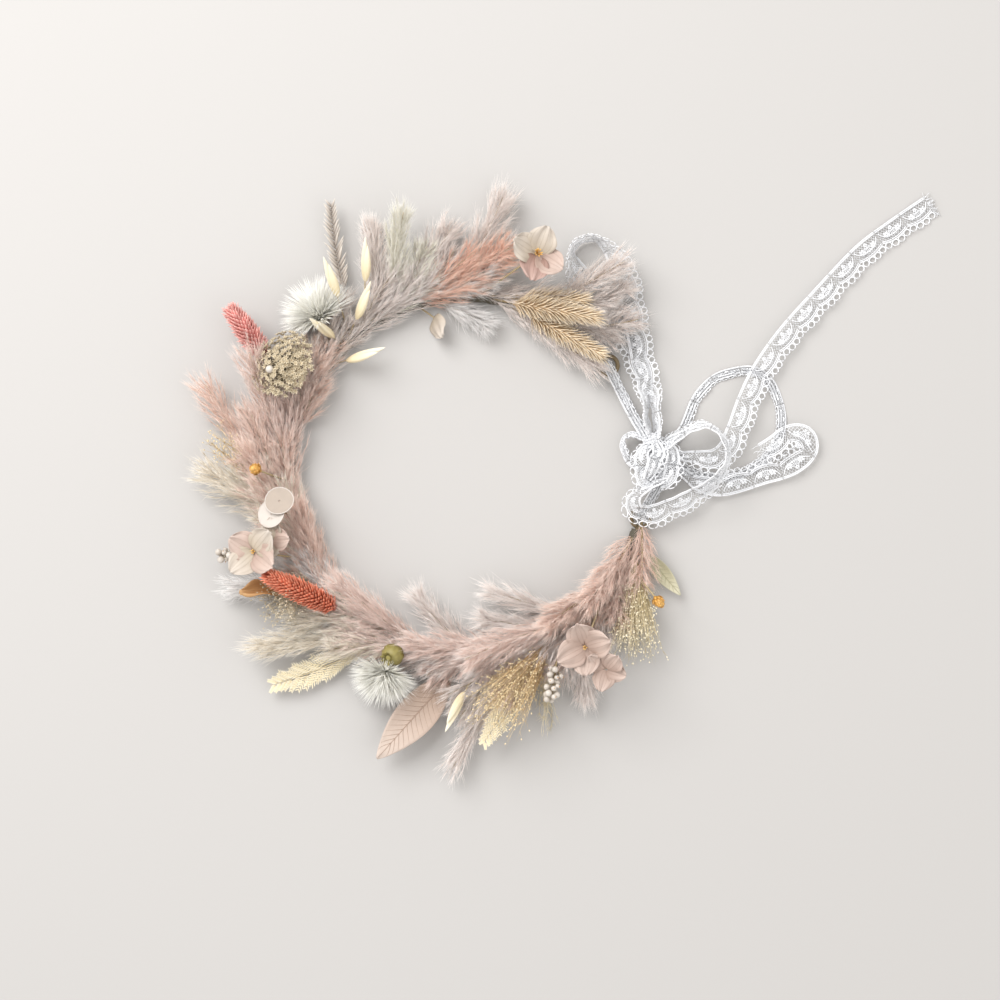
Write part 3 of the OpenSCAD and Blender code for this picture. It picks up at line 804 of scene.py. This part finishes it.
def bunch(name, stem, piece, side_plumes=4, covering=(), **changes):
    """One plume with the shorter ones that are bound in with it, over the tape."""
    plume(name, stem, piece, **changes)
    rng = dice(name + "bunch")
    foot = arctan2(stem.base[1], stem.base[0])
    rows = [(foot + back / RING_RADIUS, follow, spread, rng.uniform(0.58, 0.78) * max(stem.length, 52))
            for follow, spread, back in SIDE_PLUMES[:side_plumes]]
    rows += [(radians(angle), follow, spread, length) for angle, follow, spread, length in covering]
    for k, (angle, follow, spread, length) in enumerate(rows):
        spread = spread * rng.uniform(0.7, 1.2)
        shoot = Shoot(stem, angle, follow, spread, rng.uniform(0.08, 0.26), length, SIDE_RADIUS)
        less = dict(changes, branches=56, hairs=26, knees=3)
        plume(f"{name}{k}", shoot, piece, **less)


# Each plume's colour, and what sets it apart from a plain one.
INNER = dict(branches=56, hairs=28, full=1.6, hair=9, side_plumes=2)
# Plumes laid along the ring where it is otherwise bare: angle, share along it, lean and length.
TOP_LEFT = [
    (160, 0.9, 0.12, 44), (151, 0.95, -0.06, 48), (144, 0.85, 0.22, 46), (137, 0.95, -0.08, 48),
    (129, 0.8, 0.2, 46), (124, 0.95, 0.0, 40)
]
PEACH_SIDES = [(108, 0.55, 0.3, 50), (103, 0.5, 0.12, 54), (106, 0.8, 0.1, 44)]
PLUMES = {
    "end_plume": ("pink", {}),
    "shoulder_plume": ("pink", {}),
    "drop_plume": ("mauve", {}),
    "inner_plume_a": ("mauve", INNER),
    "inner_plume_b": ("mauve", INNER),
    "bottom_plume_a": ("rose", dict(side_plumes=5)),
    "bottom_plume_b": ("rose", dict(side_plumes=5)),
    "hanging_plume": ("mauve", dict(side_plumes=3)),
    "inner_tip_plume": ("mauve", INNER),
    "turned_plume": ("rose", dict(side_plumes=5)),
    "side_plume": ("cream", dict(hair=8.5)),
    "grey_plume": ("white", dict(hair=8.5)),
    "inner_left_plume": ("pink", {}),
    "left_plume_a": ("pink", dict(side_plumes=5)),
    "fan_plume": ("cream", dict(full=1.9)),
    "left_plume_b": ("pink", dict(full=1.9)),
    "left_plume_c": ("rose", dict(full=1.8, side_plumes=5)),
    "left_plume_d": ("pink", dict(side_plumes=5)),
    "pink_top_plume": ("mauve", dict(side_plumes=2, covering=TOP_LEFT)),
    "cream_top_plume": ("green", dict(side_plumes=2)),
    "mauve_plume": ("mauve", dict(full=1.9, side_plumes=2)),
    "peach_plume": ("peach", dict(branches=120, hairs=36, hair=6, full=2.0, side_plumes=1,
                                  covering=PEACH_SIDES)),
    "high_plume": ("mauve", dict(hair=8.5, side_plumes=2)),
    "white_inner_plume": ("white", dict(INNER, side_plumes=1)),
    "gap_plume": ("mauve", dict(full=1.8)),
}

for name, (look, changes) in PLUMES.items():
    hairs = Piece(name + "_hairs")
    bunch(name, stems(name)[0], hairs, **changes)
    hairs.make([look, "stem"], name)

end_hairs = Piece("end_plumes_hairs")
for k, stem in enumerate(stems("end_plumes")):
    bunch(f"end_plumes{k}", stem, end_hairs, side_plumes=2, branches=74, hairs=28)
end_hairs.make(["mauve", "stem"], "end_plumes")


def wiggled(root, direction, length, rng, count=9, wiggle=0.6, curl=0.0):
    """Wavy lines that leave root along direction."""
    n = len(root)
    t = linspace(0, 1, count)
    a, b = across(direction)
    phase = rng.uniform(0, 2 * pi, (2, n, 1))
    pace = rng.uniform(5, 12, (n, 1))
    line = rays(root, direction, length, t)
    line = line + a[:, None] * (wiggle * t * sin(pace * t + phase[0]))[..., None]
    line = line + b[:, None] * (wiggle * t * sin(pace * t + phase[1]))[..., None]
    return line + a[:, None] * (curl * length[:, None] * t ** 2)[..., None]


def broom(name, look, stalks, opening, twigs=5, wiggle=0.7, seeds=True, thickness=0.16):
    """A dry, wiry tuft: stalks that fan out from the base, each with short twigs and tiny seeds."""
    piece = Piece(name + "_stalks")
    for s, stem in enumerate(stems(name)):
        rng = dice(f"{name}{s}")
        n = stalks
        angle = radians(opening) * sqrt(rng.random(n))
        way, _ = fan_out(broadcast_to(stem.axis, (n, 3)), angle, rng.uniform(0, 2 * pi, n))
        root = stem.at(0.02) + rng.normal(0, 0.5, (n, 3))
        length = stem.length * rng.uniform(0.55, 1.06, n)
        line = wiggled(root, way, length, rng, wiggle=wiggle)
        t = linspace(0, 1, 9)
        tone = rng.random(n)
        piece.strands(line, thickness * (1.2 - 0.7 * t), tone=tone, tip=t)
        owner = np.repeat(arange(n), twigs)
        m = n * twigs
        spot = rng.integers(3, 8, m)
        foot = line[owner, spot]
        ahead = unit(line[owner, spot + 1] - foot)
        out, _ = fan_out(ahead, radians(rng.uniform(20, 50, m)), rng.uniform(0, 2 * pi, m))
        reach = rng.uniform(2.5, 7.0, m)
        twig = wiggled(foot, out, reach, rng, count=5, wiggle=0.35, curl=0.15)
        piece.strands(twig, thickness * 0.7 * linspace(1, 0.4, 5), tone=tone[owner],
                      tip=0.5 + 0.5 * linspace(0, 1, 5))
        if seeds:
            end = twig[:, -1]
            grain = end[:, None] + unit(twig[:, -1] - twig[:, -2])[:, None] \
                * array([-0.1, 0.35, 0.8, 1.1])[None, :, None]
            piece.strands(grain, array([0.1, 0.38, 0.3, 0.0]), sides=5,
                          tone=rng.uniform(0.4, 1, m), tip=1.0)
    piece.make([look, "stem"], name)


broom("end_broom", "straw", 190, 15)
broom("low_broom", "gold", 190, 18)
broom("moss_tuft", "yellow", 120, 26, twigs=6)
broom("dry_twigs", "oat", 22, 10, twigs=9, wiggle=1.1, seeds=False, thickness=0.22)
broom("curly_grass", "gold", 40, 9, twigs=8, wiggle=1.6, thickness=0.2)


# ---------------------------------------------------------------- blades: husks, florets, ferns

def blades(piece, root, direction, normal, length, width, thick=0.12, cup=0.2, tone=None, look=0,
           tip=(0, 1), count=6, sides=6, shape=(0.35, 0.9, 1.0, 0.75, 0.4, 0.0)):
    """Narrow pointed leaves: cup lifts their tips along the normal."""
    n = len(root)
    t = linspace(0, 1, count)
    length, width, thick = [broadcast_to(x, n) for x in (length, width, thick)]
    line = rays(root, direction, length, t) + normal[:, None] * (cup * length[:, None] * t ** 2)[..., None]
    profile = interp(t, linspace(0, 1, len(shape)), shape)
    piece.strands(line, width[:, None] * profile, thick=thick[:, None] * (0.4 + 0.6 * profile),
                  side=cross(normal, direction), sides=sides, tone=tone, look=look,
                  tip=tip[0] + (tip[1] - tip[0]) * t)


def stalk(piece, stem, share=1.0, radius=0.7, look=1):
    """The stem itself, from inside the tape to a share of its length."""
    piece.tube(stem.at(linspace(0, share, 8)), radius * linspace(1, 0.7, 8), sides=8, look=look)


def two_rows(name, look, pairs, reach, width, angle, start=0.3, midrib=0.35, leaflets=0,
             cup=0.06, profile=None, thick=0.15):
    """A flat spray: blades in two rows along a midrib, with leaflets on each where it is a fern."""
    piece = Piece(name + "_blades")
    stem = stems(name)[0]
    rng = dice(name)
    normal = stem.normal
    side = unit(cross(normal, stem.axis))
    at = bent_axis(stem, rng, 0.0)
    curve = 0.04 * stem.length
    share = linspace(0, 1, 16)

    def rib(s):
        return at(s) + side * (curve * sin(s * pi * 0.9))[..., None]
    piece.tube(rib(share), midrib * linspace(1.3, 0.25, 16), sides=6, tip=0.3)
    for hand in (-1, 1):
        k = arange(pairs)
        s = start + (0.97 - start) * (k + (0.5 if hand > 0 else 0)) / pairs
        lean = radians(angle + rng.normal(0, 4, pairs))
        way = stem.axis * cos(lean)[:, None] + hand * side * sin(lean)[:, None]
        bulge = sin(pi * np.clip((s - start) / (1 - start), 0, 1) ** 0.7) if profile is None \
            else interp(s, linspace(start, 1, len(profile)), profile)
        length = reach * (0.35 + 0.65 * bulge) * rng.uniform(0.9, 1.1, pairs)
        up = broadcast_to(normal, (pairs, 3))
        tone = rng.uniform(0.2, 0.8, pairs)
        if not leaflets:
            blades(piece, rib(s), way, up, length, width, thick=thick, cup=cup, tone=tone)
            continue
        blades(piece, rib(s), way, up, length, width * 0.28, thick=0.15, cup=cup, tone=tone)
        for small in (-1, 1):
            for i in range(leaflets):
                along = 0.15 + 0.8 * i / leaflets
                root = rib(s) + way * (length * along)[:, None] \
                    + normal * (cup * length * along ** 2)[:, None]
                spread = radians(38)
                out = way * cos(spread) + small * cross(up, way) * sin(spread)
                blades(piece, root, out, up, length * (0.42 - 0.25 * along), width * 0.5, thick=0.1,
                       cup=0.1, tone=tone, tip=(0.4, 1), count=5)
    piece.make([look, "stem"], name)


two_rows("herringbone_spray", "herringbone", 20, 9.0, 0.75, 31, start=0.34, cup=0.1,
         profile=(0.7, 1.0, 0.95, 0.7, 0.3), thick=0.4)
two_rows("low_fern", "oat", 17, 11, 0.75, 34, start=0.22, leaflets=5)
two_rows("cream_fern", "oat", 17, 13, 0.8, 36, start=0.2, leaflets=6)


CORE = 0.55


def spike(name, looks, rows, blade, width, half_width, body, lift):
    """A dense flower spike or grass ear: pointed florets that overlap all the way up it."""
    piece = Piece(name + "_florets")
    for s, stem in enumerate(longest_first(name)):
        rng = dice(f"{name}{s}")
        start = body(stem)
        stalk(piece, stem, share=0.96, radius=0.7, look=len(looks))
        look = s % len(looks)
        n = rows(stem)
        k = arange(n)
        rise = (k + rng.random(n)) / n
        share = start + (1 - start) * (0.02 + 0.9 * rise)
        turn = k * GOLDEN_ANGLE
        swell = half_width * sin(pi * (0.1 + 0.84 * rise)) ** 0.55
        radial = stem.around(turn)
        root = stem.at(share) + radial * (swell * CORE)[:, None]
        angle = radians(lift) * (1 - 0.55 * rise) * rng.uniform(0.8, 1.2, n)
        way = stem.axis * cos(angle)[:, None] + radial * sin(angle)[:, None]
        up = radial * cos(angle)[:, None] - stem.axis * sin(angle)[:, None]
        blades(piece, root, way, up, blade * rng.uniform(0.8, 1.15, n), width, thick=width * 0.45,
               cup=0.12, tone=rng.random(n), look=look, sides=6, count=6)
        centre = linspace(start, 0.93, 14)
        filled = half_width * CORE * sin(pi * (0.1 + 0.84 * linspace(0, 1, 14))) ** 0.55
        piece.tube(stem.at(centre), filled + 0.2, sides=14, look=look, tip=0.0)
    piece.make([*looks, "stem"], name)


def is_long(stem):
    return stem.length > 65


spike("coral_spikes", ("coral", "salmon"), lambda stem: 420 if is_long(stem) else 300,
      5.2, 0.95, 6.6, lambda stem: 1 - (46 if is_long(stem) else 32) / stem.length, 42)
spike("grass_ears", ("ear",), lambda stem: int(stem.length * 6), 9.0, 0.42, 3.4,
      lambda stem: 0.2, 38)


def oats():
    """Wild oat seeds: two long papery husks round a slim grain, on a hair-thin stem."""
    piece = Piece("oat_husks")
    for s, stem in enumerate(stems("oat_seeds")):
        rng = dice(f"oat{s}")
        start = 1 - 25 / stem.length
        stalk(piece, stem, share=start + 0.05, radius=0.45, look=1)
        root = stem.at(start)
        for hand, look_tip in ((-1, 0.75), (1, 1.0), (0, 0.4)):
            turn = 0.6 + hand * 1.4
            out = stem.around(turn)
            t = linspace(0, 1, 18)
            length = 25 * (1 - 0.08 * abs(hand - 1)) if hand else 20
            belly = sin(pi * t ** 0.8) ** 0.8
            line = root + stem.axis * (t * length)[:, None] \
                + out * ((1.0 if hand else 0) * belly + (1.3 if hand else 0) * t ** 3)[:, None]
            angle = around(20)
            ridge = 1 + 0.07 * cos(angle * 7)
            squash = sqrt(cos(angle) ** 2 + (0.62 * sin(angle)) ** 2)
            radii = (1.95 if hand else 1.2) * (belly[:, None] + 0.03) * ridge * squash
            piece.tube(line, radii, sides=20, tone=rng.uniform(0.4, 0.9),
                       tip=np.clip(t * 0.6 + look_tip * 0.4, 0, 1))
    piece.make(["oat", "stem"], "oat_seeds")


oats()


# ---------------------------------------------------------------- flowers, petals, seeds

def daisies():
    """White bristle daisies: layers of stiff papery bristles that open out from a small cup."""
    piece = Piece("daisy_bristles")
    for s, stem in enumerate(stems("white_daisies")):
        rng = dice(f"daisy{s}")
        stalk(piece, stem, share=0.5, radius=0.8, look=1)
        cup = linspace(0.36, 0.56, 8)
        piece.tube(stem.at(cup), array([0.8, 2.2, 3.2, 3.9, 4.2, 4.0, 3.0, 1.0]), sides=18, tone=0.3)
        for n, low, wide, long, broad in ((900, 10, 72, 0.5, 0.6), (700, 2, 62, 0.34, 0.8)):
            inner = rng.random(n)
            angle = radians(low + wide * inner ** 0.7)
            turn = rng.uniform(0, 2 * pi, n)
            way, radial = fan_out(broadcast_to(stem.axis, (n, 3)), angle, turn)
            root = stem.at(0.48) + radial * (0.6 + 2.8 * inner)[:, None]
            length = stem.length * long * (1.08 - 0.2 * inner) * rng.uniform(0.85, 1.08, n)
            normal = square(stem.axis, way)
            blades(piece, root, way, -normal, length, broad, thick=0.12, cup=0.1,
                   tone=rng.random(n), sides=4, count=7,
                   shape=(0.6, 1.0, 0.95, 0.7, 0.4, 0.15, 0.0))
    piece.make(["bristle", "stem"], "white_daisies")


daisies()


PETAL_LENGTH = 15.3
PETAL_WIDTH = 8.058
PETAL_CUP = 0.18
PETAL_RUFFLE = 0.05
PETAL_THICKNESS = 0.18


def petal(piece, foot, way, normal, length, width, rng, look, point):
    """A thin broad petal with a soft ruffle and raised veins. point makes its end sharper."""
    rows, columns = 15, 15
    s = linspace(0, 1, rows)[:, None]
    c = linspace(-1, 1, columns)[None, :]
    side = unit(cross(normal, way))
    outline = sin(pi * (0.05 + 0.9 * s ** (0.85 - 0.25 * point))) ** (0.55 + 0.45 * point)
    phase = rng.uniform(0, 6)
    wavy = PETAL_RUFFLE * length * (sin(3 * s * pi + phase) * c ** 2 + sin(2.4 * c * pi + phase) * s)
    dish = PETAL_CUP * length * (0.9 * s ** 2 + 0.35 * (outline * c) ** 2)
    end = -0.08 * length * (1 - point) * np.abs(c) ** 2 * s ** 3

    grid = foot + way * (s * length + end)[..., None] + side * (outline * c * width)[..., None] \
        + normal * (wavy + dish)[..., None]
    piece.shell(grid, PETAL_THICKNESS, tone=rng.uniform(0.3, 0.7), look=look)
    for k in (-0.66, -0.33, 0.0, 0.33, 0.66):
        row = grid[:-1, int(round((k + 1) / 2 * (columns - 1)))] + normal * PETAL_THICKNESS * 0.6
        piece.strands(row[None], 0.13 * linspace(1, 0.4, rows - 1), sides=4, tone=0.1, look=look, tip=0.2)


def sprig(name, looks, turned=0.35, stamens=False, second=None):
    """A hydrangea sprig: four broad petals round a small button, and perhaps a second floret."""
    piece = Piece(name + "_petals")
    stem = stems(name)[0]
    rng = dice(name)
    stalk(piece, stem, share=0.95, radius=0.6, look=len(looks))
    face = unit(stem.axis * 0.6 + array([0, 0, 0.8]))
    a, b = across(face)

    def floret(middle, turned, jitter, lift, length, lengths, width, points):
        for k in range(4):
            turn = turned + k * pi / 2 + rng.normal(0, jitter)
            out = a * cos(turn) + b * sin(turn)
            way = unit(out + face * rng.uniform(*lift))
            petal(piece, middle + out * 0.5 + face * 0.25 * k, way, square(face, way),
                  length * rng.uniform(*lengths), width, rng, k % len(looks), rng.uniform(*points))

    floret(stem.middle, turned, 0.12, (0.05, 0.25), PETAL_LENGTH, (0.9, 1.05), PETAL_WIDTH, (0, 0.25))
    if second is not None:
        beside = stem.middle + array(second)
        start = stem.at(0.7)
        piece.tube(start + (beside - start) * linspace(0, 1, 8)[:, None], np.full(8, 0.45), sides=8,
                   look=len(looks))
        floret(beside, turned + 0.7, 0.15, (0.0, 0.2), 12, (0.85, 1.0), 6.0, (0.1, 0.7))
    for k in range(9 if stamens else 5):
        spread = a * cos(k * SPIRAL) + b * sin(k * SPIRAL)
        reach = 3.2 if stamens else 1.6
        line = stem.middle + face * 0.8 + (face + spread * 0.7) * linspace(0, reach, 6)[:, None]
        piece.tube(line, [0.16, 0.16, 0.16, 0.3, 0.42, 0.2], sides=6, look=len(looks) + 1)
    piece.make([*looks, "stem", "bud"], name)


sprig("low_hydrangea", ("petal",), second=(11, -12, -2))
sprig("left_hydrangea", ("petal", "ivory"), turned=0.8, second=(9, 6, -1.5))
sprig("top_hydrangea", ("ivory", "tan", "petal", "ivory"), turned=1.2, stamens=True)


def single_petals():
    piece = Piece("loose_petal_blades")
    for s, stem in enumerate(longest_first("loose_petals")):
        rng = dice(f"single{s}")
        stalk(piece, stem, share=0.5, radius=0.5, look=2)
        foot = stem.at(0.4)
        middle = stem.middle
        way = unit(middle - foot)
        up = square(stem.normal, way)
        length = np.linalg.norm(middle - foot) + 6.5
        petal(piece, foot, way, up, length, 6.6, rng, look=s % 2, point=0.5)
    piece.make(["brown", "ivory", "stem"], "loose_petals")


single_petals()


def discs():
    """Two round papery honesty discs, each with a thin rim and a faint net of veins."""
    piece = Piece("honesty_disc_pair")
    stem = stems("honesty_discs")[0]
    rng = dice("discs")
    stalk(piece, stem, share=0.9, radius=0.5, look=1)
    middle = stem.middle
    for hand in (-1, 1):
        own = middle + array([1.6 + 2.1 * hand, 1.2 + 3.4 * hand, 0.6 * hand])
        face = unit(stem.axis + array([0.15 * hand, 0.1, 0.1]))
        a, b = across(face)
        radius = 7.2
        r = linspace(0.04, 1, 10)[:, None] * radius
        turn = linspace(0, 2 * pi, 40, endpoint=False)[None, :]
        dish = 0.35 * sin(2 * turn + hand) * (r / radius) ** 2 + 0.5 * (r / radius) ** 2
        grid = own + a * (r * cos(turn))[..., None] + b * (r * sin(turn) * 1.05)[..., None] \
            + face * dish[..., None]
        piece.shell(grid, 0.16, tip=0.5 - 0.4 * hand, joined=True)
        rim = concatenate([grid[-1], grid[-1, :2]])
        piece.strands(rim[None], 0.26, sides=5, tone=0.9, tip=1.0)
        for k in range(0, 40, 5):
            piece.strands(grid[2:-1, k][None] + face * 0.05, 0.05, sides=4, tone=0.4, tip=0.5 - 0.4 * hand)
    piece.make(["disc", "stem"], "honesty_discs")


discs()


def ball(piece, middle, radius, look=0, tone=0.5, axis=(0, 0, 1), ridges=0, depth=0.08, long=1.0):
    """A small round seed or berry, with ridges from end to end where it has them."""
    axis = unit(array(axis, float))
    t = linspace(0.04, pi - 0.04, 14)
    angle = around(24)
    line = array(middle) - axis * (radius * long * cos(t))[:, None]
    radii = radius * sin(t)[:, None] * (1 + depth * cos(angle * ridges) * (ridges > 0))
    piece.tube(line, radii, sides=24, look=look, tone=tone)


def berries():
    """Small round berries on short stalks, crowded at the end of a thin stem."""
    piece = Piece("berry_beads")
    for s, stem in enumerate(stems("berry_sprays")):
        rng = dice(f"berries{s}")
        stalk(piece, stem, share=0.9, radius=0.5, look=1)
        for k in range(22):
            share = 0.56 + 0.44 * k / 21
            turn = k * SPIRAL
            out = unit(stem.around(turn) + stem.axis * 0.4)
            middle = stem.at(share) + out * rng.uniform(1.6, 3.8)
            line = stem.at(share - 0.06) + (middle - stem.at(share - 0.06)) * linspace(0, 1, 5)[:, None]
            piece.tube(line, [0.25, 0.22, 0.2, 0.2, 0.3], sides=6, look=1)
            ball(piece, middle, rng.uniform(1.25, 1.9), axis=out, tone=rng.uniform(0.2, 0.9), ridges=5,
                 depth=0.04)
            ball(piece, middle + out * 1.5, 0.3, look=2, axis=out)
    piece.make(["berry", "stem", "brown"], "berry_sprays")


berries()


def buds():
    """Amber buds: overlapping scales closed over a round core."""
    piece = Piece("amber_bud_scales")
    for s, stem in enumerate(stems("gold_buds")):
        rng = dice(f"bud{s}")
        stalk(piece, stem, share=0.85, radius=0.6, look=1)
        ball(piece, stem.at(0.89), 2.5, axis=stem.axis, long=1.4)
        n = 34
        k = arange(n)
        turn = k * SPIRAL
        radial = stem.around(turn)
        root = stem.at(0.8) + stem.axis * (k / n * 4.2)[:, None] + radial * 1.9
        way = unit(stem.axis + radial * (0.7 - 0.9 * k / n)[:, None])
        up = square(radial, way)
        blades(piece, root, way, up, 3.6, 1.1, thick=0.25, cup=-0.12, tone=rng.random(n))
    piece.make(["bud", "stem"], "gold_buds")


buds()


def pod():
    """A dry olive seed pod: ridged, with a puckered crown on top."""
    piece = Piece("seed_pod_shell")
    stem = stems("seed_pod")[0]
    rng = dice("pod")
    stalk(piece, stem, share=0.55, radius=0.8, look=1)
    t = linspace(0, 1, 26)
    angle = around(60)
    profile = interp(t, [0, 0.12, 0.35, 0.6, 0.85, 0.95, 1.0], [0.8, 3.4, 5.3, 5.6, 4.2, 2.8, 1.2])
    fold = 1 + 0.09 * np.abs(cos(angle * 4))[None, :] * sin(pi * t)[:, None] \
        + 0.02 * sin(angle * 13 + 20 * t[:, None])
    line = stem.at(0.5) + stem.axis * (t * stem.length * 0.47)[:, None]
    piece.tube(line, profile[:, None] * fold, sides=60, tone=0.5)
    n = 9
    radial = stem.around(around(n))
    root = stem.at(0.96) + radial * 1.2
    way = unit(radial + stem.axis * 0.55)
    up = square(stem.axis, way)
    blades(piece, root, way, up, 3.6, 1.1, thick=0.25, cup=0.2, tone=rng.random(n))
    piece.make(["pod", "stem"], "seed_pod")


pod()


def floret_cluster():
    """A domed head of tiny pale florets on fine stalks, with one white berry among them."""
    piece = Piece("floret_cluster_heads")
    stem = stems("floret_cluster")[0]
    rng = dice("floret")
    stalk(piece, stem, share=0.6, radius=0.8, look=1)
    n = 300
    k = arange(n)
    angle = radians(66) * sqrt((k + 0.5) / n)
    way, _ = fan_out(broadcast_to(stem.axis, (n, 3)), angle, k * SPIRAL)
    root = broadcast_to(stem.at(0.45), (n, 3))
    length = stem.length * 0.5 * rng.uniform(0.72, 1.08, n)
    line = wiggled(root, way, length, rng, count=6, wiggle=0.4)
    piece.strands(line, 0.16, tone=rng.uniform(0, 0.5, n), tip=linspace(0, 0.5, 6))
    end = line[:, -1]
    for j in range(6):
        out, _ = fan_out(way, radians(np.full(n, 68.0)), np.full(n, j * pi / 3) + k)
        up = square(way, out)
        blades(piece, end, out, up, rng.uniform(1.5, 2.4, n), 0.55, thick=0.16, cup=0.25,
               tone=rng.uniform(0.2, 1, n), tip=(0.4, 1), count=5)
    ball(piece, stem.at(0.86) + array([-3.5, -5.0, 2.0]), 2.1, look=2, tone=0.7)
    piece.make(["yellow", "stem", "berry"], "floret_cluster")


floret_cluster()


def broad_leaf(name, look, half_width, veins, curl):
    """A pressed leaf: a thin sheet with a midrib and pairs of side veins."""
    piece = Piece(name + "_blade")
    stem = stems(name)[0]
    normal, way = stem.normal, stem.axis
    side = unit(cross(normal, way))
    rows, columns = 29, 13
    s = linspace(0, 1, rows)[:, None]
    c = linspace(-1, 1, columns)[None, :]
    reach = stem.length * 0.78
    foot = stem.at(0.22)

    def at(s, c, lift=0.0):
        width = half_width * sin(pi * (0.02 + 0.97 * s) ** 0.85) ** 0.8
        rise = curl * (c * width) ** 2 / half_width + 0.5 * sin(s * 9 + c * 2) + lift
        return foot + way * (s * reach)[..., None] + side * (c * width)[..., None] \
            + normal * rise[..., None]
    piece.shell(at(s + 0 * c, c + 0 * s), 0.22)
    stalk(piece, stem, share=0.26, radius=0.7, look=1)
    t = linspace(0, 0.98, 20)
    piece.tube(at(t, 0 * t, 0.15), 0.42 * linspace(1, 0.3, 20), sides=6, tip=0.1, tone=0.2)
    for k in range(veins):
        start = 0.06 + 0.8 * k / veins
        for hand in (-1, 1):
            c_line = hand * linspace(0, 0.95, 9)
            s_line = start + 0.13 * linspace(0, 1, 9) ** 0.8
            piece.strands(at(minimum(s_line, 0.98), c_line, 0.12)[None], 0.17 * linspace(1, 0.4, 9),
                          sides=4, tone=0.1, tip=0.1)
    piece.make([look, "stem"], name)


broad_leaf("skeleton_leaf", "skeleton", 10.5, 14, 0.25)
broad_leaf("end_leaf", "leaf", 4.4, 8, 0.5)


def add_floor():
    bpy.ops.mesh.primitive_plane_add(size=4, location=(0, 0, 0))
    floor = bpy.context.active_object
    floor.name = "floor"
    look = bpy.data.materials.new("floor")
    look.use_nodes = True
    shader = look.node_tree.nodes["Principled BSDF"]
    shader.inputs["Base Color"].default_value = (0.50, 0.485, 0.47, 1)
    shader.inputs["Roughness"].default_value = 0.9
    floor.data.materials.append(look)


def add_world():
    world = bpy.data.worlds.new("studio")
    world.use_nodes = True
    sky = world.node_tree.nodes["Background"]
    sky.inputs["Color"].default_value = (1.0, 0.985, 0.97, 1)
    sky.inputs["Strength"].default_value = 0.9
    bpy.context.scene.world = world


add_floor()
add_world()
add_area_light("key_light", (-0.7, 0.8, 1.2), 1.1, 25)
add_area_light("fill_light", (0.9, -0.5, 1.3), 1.4, 4)
bpy.context.scene.view_settings.view_transform = "Standard"
